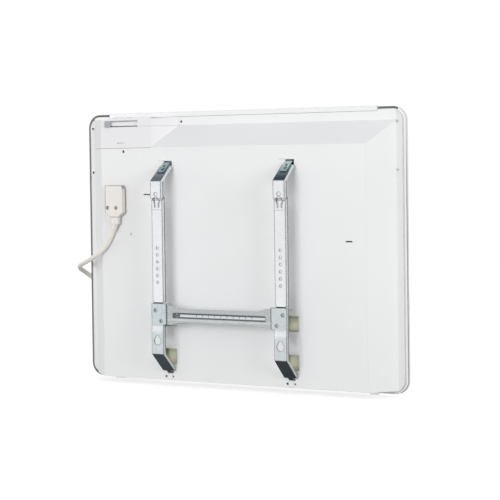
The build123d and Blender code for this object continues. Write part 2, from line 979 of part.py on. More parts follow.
def window_block(gap, above):
    """The recess for the display window, drawn in by a gap and carried above the module's top."""
    half_x, half_y = window_width / 2 - gap, window_depth / 2 - gap
    mid, top = key_y(), level(module_top)
    side = (window_x - half_x, window_x + half_x)
    return block(side, (mid - half_y, mid + half_y), (top - window_sink, top + above))


def display_window():
    """Clear window in a recess of the module's top."""
    return window_block(bore_gap, 0)


def key(x):
    """Round push key with a collar under the module's top."""
    top = level(module_top)
    mid = key_y()
    under = top - unit_wall - seat_gap
    cap = rod((x, mid, under - key_collar_height - key_stem), (x, mid, top + key_proud), key_radius)
    cap = fillet(cap.edges().group_by(Axis.Z)[-1], key_round)
    return cap + rod((x, mid, under - key_collar_height), (x, mid, under), key_radius + key_collar)


def control_board():
    """Circuit board across the module's case, carried by its end walls, with a relay and a capacitor."""
    z = level(module_top) - board_drop - board_sheet
    gap = seat_gap
    wall = lock_groove_depth + unit_wall
    back = casing_back + module_back + wall + gap
    front = casing_back + module_front - unit_wall - gap
    left = -module_left + unit_wall + gap
    right = -module_right - unit_wall - gap
    board = block((left, right), (back, front), (z, z + board_sheet))
    relay = left + relay_inset
    low = z - relay_height
    board += block((relay, relay + relay_length), (back + relay_side, front - relay_side), (low, z))
    x, y = right - capacitor_inset, key_y()
    return board + rod((x, y, z - capacitor_length), (x, y, z), capacitor_radius)


def lock_slider():
    """Slide lock: a square knob outside, a stem through the slot and a foot behind the wall."""
    z = level(knob_height)
    half = knob_size / 2
    back = casing_back - slide_gap
    knob = block((knob_x - half, knob_x + half), (back - knob_proud, back), (z - half, z + half))
    knob = fillet(knob.edges().filter_by(Axis.Y), knob_corner)
    tall = knob_groove_length / 2
    thick = knob_groove_width / 2
    deep = (back - knob_proud - 1, back - knob_proud + knob_groove_depth)
    for index in (-1, 0, 1):
        x = knob_x + index * knob_groove_pitch
        knob -= block((x - thick, x + thick), deep, (z - tall, z + tall))
    stem_half = lock_stem_width / 2
    stem_low = z - lock_slot_height / 2 + slide_gap
    stem_high = z + lock_slot_height / 2 - slide_gap
    side = (knob_x - stem_half, knob_x + stem_half)
    wall_inner = casing_back + unit_wall
    foot_back = wall_inner + slide_gap
    foot_front = foot_back + lock_foot_sheet
    slider = knob + block(side, (back, wall_inner), (stem_low, stem_high))
    slider += block(side, (wall_inner, foot_front), (stem_low, stem_low + lock_link))
    low = stem_low + lock_link - lock_foot_drop
    return slider + block(side, (foot_back, foot_front), (low, stem_low + lock_link))


# Cord connection

def box_outline(inset):
    """Outline of the connection box with its cut corners."""
    left, right = box_left + inset, box_right - inset
    low, high = level(box_bottom) + inset, level(box_top) - inset
    cut = (box_width - neck_width) / 2
    return [
        (left, low + box_lower_cut),
        (left + cut, low),
        (right - cut, low),
        (right, low + box_lower_cut),
        (right, high - box_corner_z),
        (right - box_corner_x, high),
        (left, high),
    ]


def neck_x():
    """X of the middle of the cord's neck."""
    return (box_left + box_right) / 2


def neck_y():
    """Y of the middle of the cord's neck."""
    return casing_back - box_depth / 2


def connector_housing():
    """Moulded box over the cord's connection, open towards the casing."""
    back = casing_back - box_depth
    shell = prism_y(box_outline(0), back, casing_back)
    shell = fillet(shell.faces().sort_by(Axis.Y)[0].edges(), box_round)
    shell -= prism_y(box_outline(box_wall), back + box_wall, casing_back + 1)
    for x in box_screw_x:
        z = level(box_screw_height)
        shell += pin_y(x, z, box_screw_head + box_screw_wall, back + box_wall / 2, casing_back)
        shell -= pin_y(x, z, box_screw_radius + bore_gap, back - 1, casing_back + 1)
        shell -= pin_y(x, z, box_screw_head + bore_gap, back - 1, back + box_screw_recess)
    half = neck_width / 2 - neck_tongue_inset + seat_gap
    deep = neck_depth / 2 - neck_tongue_inset + seat_gap
    low = level(box_bottom)
    side = (neck_x() - half, neck_x() + half)
    return shell - block(side, (neck_y() - deep, neck_y() + deep), (low - 1, low + box_wall + 1))


def connector_screws():
    """Two slotted screws that hold the box to the casing."""
    screws = []
    seat = casing_back - box_depth + box_screw_recess
    z = level(box_screw_height)
    for x in box_screw_x:
        face = seat - box_screw_head_height
        head = pin_y(x, z, box_screw_head, face, seat)
        side = (x - box_screw_head - 1, x + box_screw_head + 1)
        half = driver_slot / 2
        head -= block(side, (face - 1, face + box_screw_head_height * 0.4), (z - half, z + half))
        screws.append(head + pin_y(x, z, box_screw_radius, seat, seat + box_screw_length))
    return screws


def strain_relief():
    """Moulded neck and a tapered sleeve that leads the cord out of the box."""
    half, deep = neck_width / 2, neck_depth / 2
    x, y = neck_x(), neck_y()
    low, high = level(neck_bottom), level(box_bottom) - seat_gap / 3
    neck = block((x - half, x + half), (y - deep, y + deep), (low, high))
    neck = fillet(neck.edges().filter_by(Axis.Z), neck_round)
    half -= neck_tongue_inset
    deep -= neck_tongue_inset
    neck += block((x - half, x + half), (y - deep, y + deep), (high - 1, high + neck_tongue))
    exit_point, second = (Vector(*point) for point in free_route()[:2])
    way = (second - exit_point).normalized()
    start = exit_point + way * ((low + relief_buried - exit_point.Z) / way.Z)
    neck += rod(tuple(start), tuple(exit_point), relief_start_radius, relief_end_radius)
    return neck


# Wall bracket

def channel(path, width):
    """A folded channel: a web along the path and a flange along each edge, lower on the arm at its end."""
    half = width / 2
    web = prism_x(band(path, steel), -half, half)
    flange = prism_x(band(path, flange_depth, arm_flange_depth), half - steel, half)
    return web + flange + mirror(flange, about=Plane.YZ)


def arm_place(along, out):
    """A point on the upper arm: its distance up the slope and out from the web's wall side."""
    y = along * math.cos(arm_angle) - out * math.sin(arm_angle)
    z = level(upper_bend) + along * math.sin(arm_angle) + out * math.cos(arm_angle)
    return y, z


def arm_pin(along, radius, low, high):
    """A round bar square to the upper arm, between two distances out from its web."""
    return rod((0, *arm_place(along, low)), (0, *arm_place(along, high)), radius)


def rail():
    """Upper rail: a channel with a joggle, bent out at its top into the sloping arm."""
    path = [
        (rail_shift, level(rail_start)),
        (rail_shift, level(joggle_height - joggle_rise / 2)),
        (0, level(joggle_height + joggle_rise / 2)),
        (0, level(upper_bend)),
        (arm_reach, level(arm_top)),
    ]
    shape = channel(path, rail_width)
    half = rail_width / 2 - steel - seat_gap
    tail = (rail_shift, rail_shift + steel)
    shape += block((-half, half), tail, (level(rail_foot), level(rail_start) + steel))
    reach = clinch_radius + clinch_edge - clinch_places[-1][0]
    shape += block((-reach, half), tail, (level(rail_foot), level(joint_height)))
    through = (-1, rail_shift + steel + 1)
    shape -= pin_y(0, 0, fixing_radius, *through)
    for index in range(pitch_holes):
        z = level(pitch_first + index * pitch_step)
        shape -= pin_y(0, z, pitch_radius, *through)
    shape -= lanced_tongue(through)
    notch = (level(notch_height) - notch_width / 2, level(notch_height) + notch_width / 2)
    inner = rail_width / 2 - notch_in
    for edge in ((-rail_width, -inner), (inner, rail_width)):
        shape -= block(edge, through, notch)
    return shape - arm_pin(catch_pin_along, catch_pin_radius + bore_gap, -2 * steel, steel)


def lanced_tongue(through):
    """The gap that frees a tongue with a round head from the web."""
    z = level(tongue_head_height)
    foot = level(tongue_foot)
    wide = tongue_stem_width / 2 + tongue_gap
    gap = pin_y(0, z, tongue_head_radius + tongue_gap, *through)
    gap += block((-wide, wide), through, (foot, z))
    gap -= pin_y(0, z, tongue_head_radius, *through)
    stem = tongue_stem_width / 2
    return gap - block((-stem, stem), through, (foot - 1, z))


def lower_strap():
    """Lower strap: a web with an ear for the cross bar, a keyhole, a sloping arm and a hook."""
    slope = (lower_bend - lower_arm_end) / lower_arm_reach
    bend = (0, level(lower_bend))

    def on_slope(height):
        return ((lower_bend - height) / slope, level(height))

    def from_top(top, arm_end):
        high, low = strap_joggle + strap_joggle_rise / 2, strap_joggle - strap_joggle_rise / 2
        path = [(strap_shift, level(top)), (strap_shift, level(high)), (0, level(low))]
        return path + [bend, on_slope(arm_end)]

    hook_path = [bend, on_slope(hook_level), (hook_reach, level(hook_level))]
    hook_path.append((hook_reach, level(hook_top)))
    half = strap_width / 2
    shape = prism_x(band(from_top(joint_height, lower_arm_end), -steel), -half, half)
    for top, side in ((joint_height, (half - steel, half)), (strap_flange_top, (-half, steel - half))):
        path = from_top(top, lower_flange_end)
        shape += prism_x(band(path, -flange_depth, -arm_flange_depth), *side)
    shape += prism_x(band(hook_path, -steel), -hook_width / 2, hook_width / 2)
    ear = (-half - ear_reach, -half + steel)
    tall = (level(ear_bottom), level(joint_height))
    shape += block(ear, (strap_shift, strap_shift + steel), tall)
    through = (-1, flange_depth)
    shape -= pin_y(0, level(keyhole_height), keyhole_radius, *through)
    neck_centre = keyhole_top - keyhole_neck
    shape -= pin_y(0, level(neck_centre), keyhole_neck, *through)
    tall = (level(keyhole_height), level(neck_centre))
    shape -= block((-keyhole_neck, keyhole_neck), through, tall)
    return shape


def clinch_holes(radius):
    """Bores for the clinch rivets on the right-hand side of the bracket."""
    return [pin_y(x, level(height), radius, -1, flange_depth) for x, height in clinch_points]


def bracket_sides():
    """Both rails and both straps, with their clinch bores."""
    upper = Pos(rail_x, 0, 0) * rail()
    lower = Pos(rail_x, 0, 0) * lower_strap()
    for hole in clinch_holes(clinch_radius + bore_gap):
        upper -= hole
        lower -= hole
    save("rail_right", upper)
    save("rail_left", mirror(upper, about=Plane.YZ))
    save("strap_right", lower)
    save("strap_left", mirror(lower, about=Plane.YZ))


def cross_bar():
    """Slotted bar between the straps and the rails, widened in a curve at each end."""
    z = level(bar_level)
    thick = (bar_back, bar_back + bar_sheet)
    half = bar_height / 2
    bar = block((-bar_end, bar_end), thick, (z - half, z + half))
    inner = rail_x - strap_width / 2 - ear_reach - bar_flare
    span = bar_flare - bar_flat
    for rise, side in ((bar_end_up, 1), (bar_end_down, -1)):
        tall = sorted((z, z + side * rise))
        step = rise - half
        radius = (span**2 + step**2) / (2 * step)
        end = block((inner, bar_end), thick, tall)
        end -= pin_y(inner, z + side * (half + radius), radius, bar_back - 1, rail_shift + 1)
        for piece in both_sides(end):
            bar += piece
    slot = bar_slot_height / 2
    bar -= block((bar_slot_left, bar_slot_right), (0, rail_shift + 1), (z - slot, z + slot))
    for hole in clinch_holes(clinch_radius + bore_gap):
        bar -= hole
        bar -= mirror(hole, about=Plane.YZ)
    return bar


def scale_strip():
    """Plain strip behind the bar's slot, with a row of fine tick grooves."""
    z = level(bar_level)
    half = scale_height / 2
    thick = (rail_shift, rail_shift + scale_sheet)
    strip = block((scale_left, scale_right), thick, (z - half, z + half))
    tall = (z + tick_lift - tick_length / 2, z + tick_lift + tick_length / 2)
    for index in range(tick_count):
        x = scale_left + tick_first + index * tick_pitch
        side = (x - tick_width / 2, x + tick_width / 2)
        strip -= block(side, (rail_shift - 1, rail_shift + tick_depth), tall)
    return strip


def clinch_rivets():
    """Four rivets through strap, bar and rail, with cupped ends on the wall side."""
    front = rail_shift + steel
    rivets = []
    for x, height in clinch_points:
        z = level(height)
        rivet = pin_y(x, z, clinch_radius, strap_shift, front)
        rivet += pin_y(x, z, clinch_head_radius, front, front + clinch_head_height)
        bottom = (x, strap_shift + clinch_cup_depth, z)
        rivet -= rod((x, strap_shift, z), bottom, clinch_cup, clinch_cup - clinch_cup_depth / 2)
        rivets += both_sides(rivet)
    return rivets


# Spring catches

def catch():
    """Sliding catch on the wall side of the upper arm, with a flat nose for the casing's slot."""
    out = slide_gap + catch_sheet
    bend_y, bend_z = arm_place(catch_bend, out)
    path = [arm_place(catch_start, out), (bend_y, bend_z), (catch_nose, bend_z)]
    half = catch_width / 2
    shape = prism_x(band(path, catch_sheet), -half, half)
    nose = shape.edges().filter_by(Axis.Z).group_by(Axis.Y)[-1]
    shape = fillet(nose, nose_corner)
    slot_radius = catch_pin_radius + slide_gap
    for along in (catch_pin_along, catch_pin_along + catch_travel):
        shape -= arm_pin(along, slot_radius, -1, 2 * out)
    middle = (0, *arm_place(catch_pin_along + catch_travel / 2, 0))
    square = (0, -math.sin(arm_angle), math.cos(arm_angle))
    slot = Plane(origin=middle, x_dir=(1, 0, 0), z_dir=square)
    return shape - slot * Box(2 * slot_radius, catch_travel, 4 * out)


def catch_rivets():
    """Shouldered rivets that hold the catches on the arms and guide them."""
    face = catch_sheet + 2 * slide_gap
    tail = -steel
    rivet = arm_pin(catch_pin_along, catch_pin_radius, tail, face)
    rivet += arm_pin(catch_pin_along, catch_pin_head, face, face + catch_pin_head_height)
    rivet += arm_pin(catch_pin_along, catch_pin_head, tail - catch_pin_head_height, tail)
    return both_sides(Pos(rail_x, 0, 0) * rivet)


# Mains cord

def corner_radii(points):
    """The largest fillet that each corner of a route allows."""
    radii = []
    for before, point, after in zip(points, points[1:], points[2:]):
        first = Vector(*point) - Vector(*before)
        second = Vector(*after) - Vector(*point)
        half_turn = math.radians(first.get_angle(second)) / 2
        radii.append(0.45 * min(first.length, second.length) / math.tan(half_turn))
    return radii


def power_cord():
    """The free cord from its strain relief to its coil."""
    route = free_route()
    radii = corner_radii(route)
    path = FilletPolyline(*route, radius=radii)
    start = Vector(*route[0])
    section = Plane(origin=start, z_dir=Vector(*route[1]) - start) * Circle(cord_radius)
    tube = sweep(section, path=path)
    length = sum(edge.length for edge in path.edges())
    area = math.pi * cord_radius**2
    print("cord radii", [round(radius, 1) for radius in radii])
    print("cord length", round(length, 1), "volume", round(tube.volume), round(area * length))
    return tube, length


def biarc(start, start_way, end, end_way):
    """Two tangent arcs between two points with given directions."""
    run = end - start
    ways = start_way + end_way
    a = ways.dot(ways) - 4
    b = -2 * run.dot(ways)
    c = run.dot(run)
    reach = -c / b if abs(a) < 1e-9 else (-b - math.sqrt(b * b - 4 * a * c)) / (2 * a)
    middle = ((start + start_way * reach) + (end - end_way * reach)) / 2
    first = TangentArc(start, middle, tangent=start_way)
    return [first, TangentArc(middle, end, tangent=first % 1)]


def coil_edges():
    """The coil's centre line: half turns that wind in, climb a layer and wind out again."""
    lead_in = Vector(*free_route()[-1])
    point = lead_in + Vector(coil_lead, 0, 0)
    edges = [Line(lead_in, point)]
    way = Vector(1, 0, 0)
    for index in range(coil_halves):
        radius = coil_inner_radius + coil_pitch / 2 * abs(index - coil_climb)
        climb = coil_pitch if index == coil_climb else 0
        across = -1 if index % 2 == 0 else 1
        end = point + Vector(0, across * 2 * radius, climb)
        edges += biarc(point, way, end, way * -1)
        point, way = end, way * -1
    tail = Vector(point.X + coil_tail_run, point.Y, plug_axis_level())
    edges += biarc(point, way, tail, way)
    edges.append(Line(tail, tail + Vector(coil_lead, 0, 0)))
    return edges


def surface_level():
    """Z of the surface that the coil, its tie and the plug lie on."""
    return free_route()[-1][2] - cord_radius - tie_gap - tie_sheet


def plug_axis_level():
    """Height of the plug's axis as it lies on the surface."""
    return surface_level() + plug_radius


def least_gap(edges):
    """Smallest clear distance between turns of the coil, on sampled points."""
    step = 4.0
    points = []
    for edge in edges:
        count = max(int(edge.length / step), 1)
        points += [edge @ (index / count) for index in range(count)]
    skip = int(6 * cord_radius / step) + 2
    least = min(
        (points[i] - points[j]).length
        for i in range(len(points))
        for j in range(i + skip, len(points))
    )
    return least - 2 * cord_radius


def cord_coil():
    """The stored length of the cord as one unbroken tube of loops, with its tail."""
    edges = coil_edges()
    wire = Wire(edges)
    section = Plane(origin=edges[0] @ 0, z_dir=edges[0] % 0) * Circle(cord_radius)
    tube = sweep(section, path=wire)
    length = wire.length
    area = math.pi * cord_radius**2
    print("coil length", round(length, 1), "volume", round(tube.volume), round(area * length))
    print("coil least gap", round(least_gap(edges), 2))
    return tube, length


def coil_tie():
    """Flat tie round the four strands on the left of the coil."""
    start = Vector(*free_route()[-1]) + Vector(coil_lead, 0, 0)
    inner = coil_inner_radius + coil_pitch / 2
    x_low = start.X - inner - coil_pitch - cord_radius - tie_gap
    x_high = start.X - inner + cord_radius + tie_gap + tie_room
    z_low = start.Z - cord_radius - tie_gap
    z_high = start.Z + coil_pitch + cord_radius + tie_gap
    y = start.Y - coil_inner_radius - 2 * coil_pitch
    side = (y - tie_width / 2, y + tie_width / 2)
    wide = (x_low - tie_sheet, x_high + tie_sheet)
    outer = block(wide, side, (z_low - tie_sheet, z_high + tie_sheet))
    outer = fillet(outer.edges().filter_by(Axis.Y), tie_corner + tie_sheet)
    inside = block((x_low, x_high), (side[0] - 1, side[1] + 1), (z_low, z_high))
    return outer - fillet(inside.edges().filter_by(Axis.Y), tie_corner)


def plug_tail():
    """The end of the coil, where the plug begins."""
    return coil_edges()[-1] @ 1


def plug_body():
    """Moulded round plug with a tapered grip, its pins towards +X."""
    tail = plug_tail()
    shoulder = plug_length - plug_face
    profile = [
        (0, 0),
        (0, plug_tail_radius),
        (plug_waist, plug_waist_radius),
        (shoulder - plug_flare, plug_grip_radius),
        (shoulder, plug_radius),
        (plug_length, plug_radius),
        (plug_length, 0),
    ]
    face = Face(Wire.make_polygon([(x, 0, r) for x, r in profile], close=True))
    body = Solid.revolve(face, 360, Axis.X)
    body = fillet(body.edges().group_by(Axis.X)[-1], plug_round)
    return Pos(*tail) * (body - pin_bores())


def pin_bores():
    """Bores in the plug's face that hold the pins."""
    bores = None
    for side in (-1, 1):
        y = side * pin_pitch / 2
        start = plug_length - pin_buried
        bore = rod((start, y, 0), (plug_length + 1, y, 0), pin_radius + bore_gap)
        bores = bore if bores is None else bores + bore
    return bores


def plug_pins():
    """Two round pins with rounded tips."""
    tail = plug_tail()
    pins = []
    for side in (-1, 1):
        y = side * pin_pitch / 2
        pin = rod((plug_length - pin_buried, y, 0), (plug_length + pin_length, y, 0), pin_radius)
        pin = fillet(pin.edges().group_by(Axis.X)[-1], pin_round)
        pins.append(Pos(*tail) * pin)
    return pins


def build():
    """Write every node of the heater."""
    os.makedirs("parts", exist_ok=True)
    save("front_glass", front_glass())
    save("front_plate", front_plate())
    save("bonding_strips", *bonding_strips())
    save("glass_clips", *glass_clips())
    save("rear_casing", rear_casing())
    save("casing_screws", *casing_screws())
    save("outlet_grille", outlet_grille())
    save("inlet_grille", inlet_grille())
    save("heat_shield", heat_shield())
    save("compartment_wall", compartment_wall())
    save("heating_element", heating_element())
    save("element_rod", element_rod())
    save("element_supports", *element_supports())
    save("thermal_cutout", thermal_cutout())
    save("terminal_block", terminal_block())
    save("inner_wiring", *inner_wiring())
    save("control_housing", control_housing())
    save("control_module", control_module())
    save("display_window", display_window())
    save("control_board", control_board())
    for name, x in zip(("key_minus", "key_plus", "key_mode"), key_x):
        save(name, key(x))
    save("lock_slider", lock_slider())
    save("connector_housing", connector_housing())
    save("connector_screws", *connector_screws())
    save("strain_relief", strain_relief())
    bracket_sides()
    save("cross_bar", cross_bar())
    save("scale_strip", scale_strip())
    save("clinch_rivets", *clinch_rivets())
    right_catch = Pos(rail_x, 0, 0) * catch()
    save("catch_right", right_catch)
    save("catch_left", mirror(right_catch, about=Plane.YZ))
    save("catch_rivets", *catch_rivets())
    cord, cord_length = power_cord()
    save("power_cord", cord)
    coil, coil_length = cord_coil()
    save("cord_coil", coil)
    print("whole cord", round(cord_length + coil_length, 1))
    save("coil_tie", coil_tie())
    save("plug_body", plug_body())
    save("plug_pins", *plug_pins())


build()
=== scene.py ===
import math

import bmesh
import bpy
from mathutils import Matrix, Vector


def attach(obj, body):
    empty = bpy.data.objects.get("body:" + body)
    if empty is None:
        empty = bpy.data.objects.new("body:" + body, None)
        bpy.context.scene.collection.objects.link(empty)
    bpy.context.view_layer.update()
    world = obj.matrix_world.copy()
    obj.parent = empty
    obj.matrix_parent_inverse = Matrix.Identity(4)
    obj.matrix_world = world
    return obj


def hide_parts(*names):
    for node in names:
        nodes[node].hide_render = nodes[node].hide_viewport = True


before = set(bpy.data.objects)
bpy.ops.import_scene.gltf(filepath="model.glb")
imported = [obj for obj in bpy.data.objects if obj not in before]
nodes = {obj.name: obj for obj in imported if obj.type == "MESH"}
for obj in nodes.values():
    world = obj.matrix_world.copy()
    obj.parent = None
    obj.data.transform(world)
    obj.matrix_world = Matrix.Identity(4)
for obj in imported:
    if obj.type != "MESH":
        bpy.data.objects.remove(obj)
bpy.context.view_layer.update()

# Wall-hung electric panel heater, seen from its wall side.
# Metres. X to the right as seen from the wall, Y from the wall into the room, Z up.

# Camera, at the photograph's viewing angle
camera_place = Vector((1.0502, -1.8676, 0.0441))
camera_turn = math.radians(28.048)
camera_pitch = math.radians(1.5)
camera_roll = math.radians(-0.752)
camera_lens = 108.81
camera_sensor = 36.0
camera_shift = -0.096

# Light: each lamp's name, place, side and power in watts
ambient_level = 0.55
lamp_target = (0, 0.04, -0.08)
lamps = (
    ("key_lamp", (-0.1, -3.5, 0.5), 1.5, 54),
    ("right_lamp", (3.0, -1.3, 0.5), 1.4, 33),
    ("left_lamp", (-3.4, -0.9, 0.5), 1.4, 15),
    ("room_lamp", (-1.6, 3.4, 1.2), 2.4, 82),
)

# Floor
floor_level = -0.2835
floor_half = 2.8
floor_tone = 0.28
floor_glow = 0.8

# Panel, with its heights taken from the foot of the glass
fixing_height = 0.2804
casing_back = 0.036
glass_half = 0.2625
glass_rise = 0.2
glass_middle = glass_rise - fixing_height
glass_corner = 0.02
window_tops = (0.107 - fixing_height, 0.052 - fixing_height)
window_shade = (0.002, 0.011)
white_window = 0.075 - fixing_height
hook_slot = 0.324 - fixing_height
hook_slot_half = 0.006
dash_level = 0.214 - fixing_height
dash_half = 0.003
right_screws = (0.2, 0.21)

# Low bosses in the back of the casing
casing_marks = (
    (-0.0998, 0.1169 - fixing_height), (0.0992, 0.1159 - fixing_height), (-0.1658, 0.2201 - fixing_height),
)
mark_radius = 0.0024
mark_height = 0.0005
mark_dish = 0.4 * mark_height
mark_sink = 0.0001
mark_steps = 32

# Lock, keys and connector box
lock_slot_level = 0.3844 - fixing_height
lock_slot_half = 0.0038
lock_slot_start = -0.2073
lock_slot_end = -0.1517
lock_line_top = lock_slot_level + lock_slot_half + 0.0003
lock_line_foot = lock_slot_level - lock_slot_half - 0.0001
box_left = -0.205
key_top = 0.114
key_middle = 0.05205
minus_place = -0.201
plus_place = -0.189
mode_place = -0.177
print_reach = 0.0022
print_half = 0.00035
print_depth = 0.0001
print_sink = 0.00005
ring_radius = print_reach - 0.0002
ring_hole = 0.65
ring_steps = 32

# Bracket
bar_level = 0.105 - fixing_height
slot_half = 0.0033
arm_foot = 0.299 - fixing_height
arm_tip = 0.321 - fixing_height
lower_bend = 0.048 - fixing_height
joint_level = 0.123 - fixing_height
strap_fold = 0.0852 - fixing_height
fold_top = strap_fold + 0.0052
fold_foot = strap_fold + 0.0022
strap_shade = 0.076 - fixing_height
ear_edge = 0.0853
rail_set_back = 0.0032
flange_reach = 0.0075
flange_line = 0.0028
joggle_level = 0.2728 - fixing_height
tongue_line = 0.2575 - fixing_height
catch_bend_level = 0.3035 - fixing_height
catch_top = 0.321 - fixing_height
scale_dark_end = -0.0632
tick_first = -0.036
tick_pitch = 0.01
tick_count = 10
tick_level = bar_level + 0.0006
tick_half = 0.0013

# How far a painted line, a bend and a step in tone fade
line_soft = 0.0004
bend_soft = 0.0008
step_soft = 0.001

# Painted lines, most of them painted shade, as the two places between which a mask rises
right_rim = (0.249, 0.2497)
left_rim = (-0.246, -0.25)
casing_outline = (0.0072, 0.0064)
glass_outline = (0.0036, 0.003)
glass_edge = (0.0016, 0.0011)
glass_right = (glass_half - 0.013, glass_half - 0.012)
glass_lower = (0.11, -0.02)
outline_above = (0.012 - fixing_height, 0.03 - fixing_height)
outline_corner = (-0.244, -0.25)
box_left_edge = (box_left + 0.0019, box_left + 0.0012)
box_rear_edge = (0.0276, 0.0268)
box_foot_edge = (0.0325, 0.034)

# A match of normals under which only a sharp edge counts as a corner
sharp_turn = 0.92

# Colours of coats, plastics and glass, and of the painted shade, shadow and highlight laid over them
coat_white = (0.86, 0.865, 0.87)
coat_upper_slope_shade = (0.66, 0.665, 0.685)
coat_fold_shade = (0.5, 0.5, 0.5)
coat_opening_shade = (0.3, 0.3, 0.3)
coat_right_rim_shade = (0.74, 0.745, 0.74)
coat_outline_shade = (0.16, 0.165, 0.165)
gap_shade_black = (0.015, 0.015, 0.015)
housing_white = (0.84, 0.835, 0.85)
housing_edge_shade = (0.4, 0.4, 0.42)
lock_top_shadow = (0.32, 0.33, 0.36)
lock_foot_shade = (0.06, 0.06, 0.07)
box_cream = (0.855, 0.83, 0.79)
box_flank_shade = (0.82, 0.77, 0.73)
box_corner_shade = (0.36, 0.31, 0.28)
box_top_shade = (0.06, 0.06, 0.06)
box_left_shade = (0.26, 0.2, 0.18)
box_rear_shade = (0.42, 0.35, 0.32)
box_foot_shadow = (0.2, 0.14, 0.12)
screw_dark = (0.04, 0.04, 0.045)
screw_rim = (0.72, 0.72, 0.72)
screw_coated = (0.6, 0.6, 0.6)
sheet_yellow = (0.97, 0.97, 0.74)
sheet_shadow = (0.66, 0.68, 0.5)
sheet_white = (0.88, 0.885, 0.89)
glass_white = (0.87, 0.88, 0.875)
glass_left_line = (0.1, 0.105, 0.105)
glass_right_line = (0.25, 0.26, 0.255)
glass_lower_line = (0.15, 0.155, 0.15)
scale_white = (0.68, 0.74, 0.76)
scale_slot_shade = (0.08, 0.1, 0.11)
scale_tick = (0.14, 0.15, 0.16)
scale_end_shade = (0.06, 0.07, 0.08)
scale_speck = (0.35, 0.37, 0.38)
boss_shade_tone = (0.6, 0.63, 0.62)

# Colours of plated and bare metal, and of the painted light, shade and reflection laid over it
rail_left_lit_tone = (0.83, 0.845, 0.87)
rail_left_bend_reflection = (0.12, 0.145, 0.165)
rail_left_tip_reflection = (0.4, 0.45, 0.49)
rail_right_shaded_tone = (0.8, 0.815, 0.83)
rail_right_bend_reflection = (0.03, 0.042, 0.06)
rail_right_tip_reflection = (0.3, 0.4, 0.4)
rail_flange_shade = (0.13, 0.16, 0.17)
rail_tongue_shade = (0.4, 0.42, 0.44)
rail_tail_shade = (0.02, 0.022, 0.025)
rail_corner_shade = (0.07, 0.08, 0.09)
strap_zinc = (0.58, 0.635, 0.65)
strap_web = (0.6, 0.65, 0.67)
strap_fold_highlight = (0.8, 0.81, 0.82)
strap_side_lit = (0.62, 0.66, 0.67)
strap_side_shade = (0.12, 0.15, 0.16)
strap_ear_shade = (0.08, 0.1, 0.11)
strap_corner_shade = (0.06, 0.075, 0.09)
strap_left_arm_reflection = (0.014, 0.023, 0.034)
strap_right_arm_reflection = (0.007, 0.014, 0.021)
bar_zinc = (0.47, 0.5, 0.5)
bar_highlight = (0.66, 0.7, 0.7)
bar_slot_shade = (0.035, 0.045, 0.05)
bar_corner_shade = (0.1, 0.12, 0.12)
catch_steel = (0.5, 0.53, 0.55)
catch_corner_shade = (0.05, 0.055, 0.06)
catch_left_foot_reflection = (0.21, 0.26, 0.29)
catch_left_head_reflection = (0.34, 0.4, 0.44)
catch_right_foot_reflection = (0.2, 0.28, 0.295)
catch_right_head_reflection = (0.45, 0.56, 0.54)
rivet_zinc = (0.45, 0.49, 0.51)
rivet_cup_shade = (0.05, 0.06, 0.07)

# Mains cord, as the points that its line is drawn by
cord_diameter = 0.0075
cord_route = [
    (-0.193, 0.0305, -0.0539),
    (-0.2006, 0.0305, -0.0704),
    (-0.213, 0.031, -0.0849),
    (-0.2285, 0.0325, -0.0952),
    (-0.2542, 0.0435, -0.1048),
    (-0.2835, 0.066, -0.1132),
    (-0.29, 0.101, -0.126),
    (-0.278, 0.134, -0.149),
    (-0.27, 0.154, -0.18),
    (-0.265, 0.169, -0.214),
    (-0.26, 0.18, -0.246),
    (-0.243, 0.187, -0.2675),
    (-0.22, 0.188, -0.27865),
    (-0.2, 0.188, -0.27865),
]
coil_lead = 0.008
coil_pitch = 0.008
coil_inner_radius = 0.033
coil_halves = 8
coil_climb = 4
coil_steps = 8

# Plug, measured along from the cord's end and out from its axis
plug_axis = -0.2655
plug_start = -0.136
plug_side = 0.188
plug_sides = 48
tail_tip_radius = 0.0045
tail_round = 0.0006
tail_radius = 0.0052
tail_length = 0.0114
neck_radius = 0.0097
tail_slope = (neck_radius - tail_radius) / tail_length
tail_grooves = (0.003, 0.0052, 0.0074)
groove_section = ((0, 0), (0.0003, 0.0007), (0.001, 0.0007), (0.0013, 0))
grip_start = 0.014
grip_end = 0.0235
grip_slope = (0.0135 - neck_radius) / (0.025 - tail_length)
rib_edge = 0.0002
rib_depth = 0.0005
plug_head = (
    (0.0254, 0.0138), (0.0302, 0.0174), (0.0311, 0.0179), (0.0318, 0.018), (0.0362, 0.018), (0.0371, 0.0178),
    (0.0378, 0.0173), (0.038, 0.0165), (0.038, 0.0158), (0.0376, 0.0154), (0.0376, 0),
)
sharp_angle = math.radians(32)

# Band round the coil
tie_low = (-0.24185, 0.1345, -0.2835)
tie_high = (-0.22295, 0.1435, -0.2658)
tie_corner = 0.0032
tie_corner_steps = 6
tie_sheet = 0.0008
tie_lap = 0.0005
tie_lap_edge = 0.0006


# Camera, floor and light

def place_camera():
    """The camera of the main view."""
    forward = Vector((-math.sin(camera_turn), math.cos(camera_turn), 0))
    right = Vector((math.cos(camera_turn), math.sin(camera_turn), 0))
    up = Vector((0, 0, 1))
    ahead = forward * math.cos(camera_pitch) - up * math.sin(camera_pitch)
    above = up * math.cos(camera_pitch) + forward * math.sin(camera_pitch)
    side = right * math.cos(camera_roll) + above * math.sin(camera_roll)
    above = above * math.cos(camera_roll) - right * math.sin(camera_roll)
    data = bpy.data.cameras.new("camera")
    data.sensor_width = camera_sensor
    data.lens = camera_lens
    data.shift_y = camera_shift
    data.clip_end = 50
    camera = bpy.data.objects.new("camera", data)
    bpy.context.scene.collection.objects.link(camera)
    turn = Matrix((side, above, -ahead)).transposed().to_4x4()
    camera.matrix_world = Matrix.Translation(camera_place) @ turn
    bpy.context.scene.camera = camera


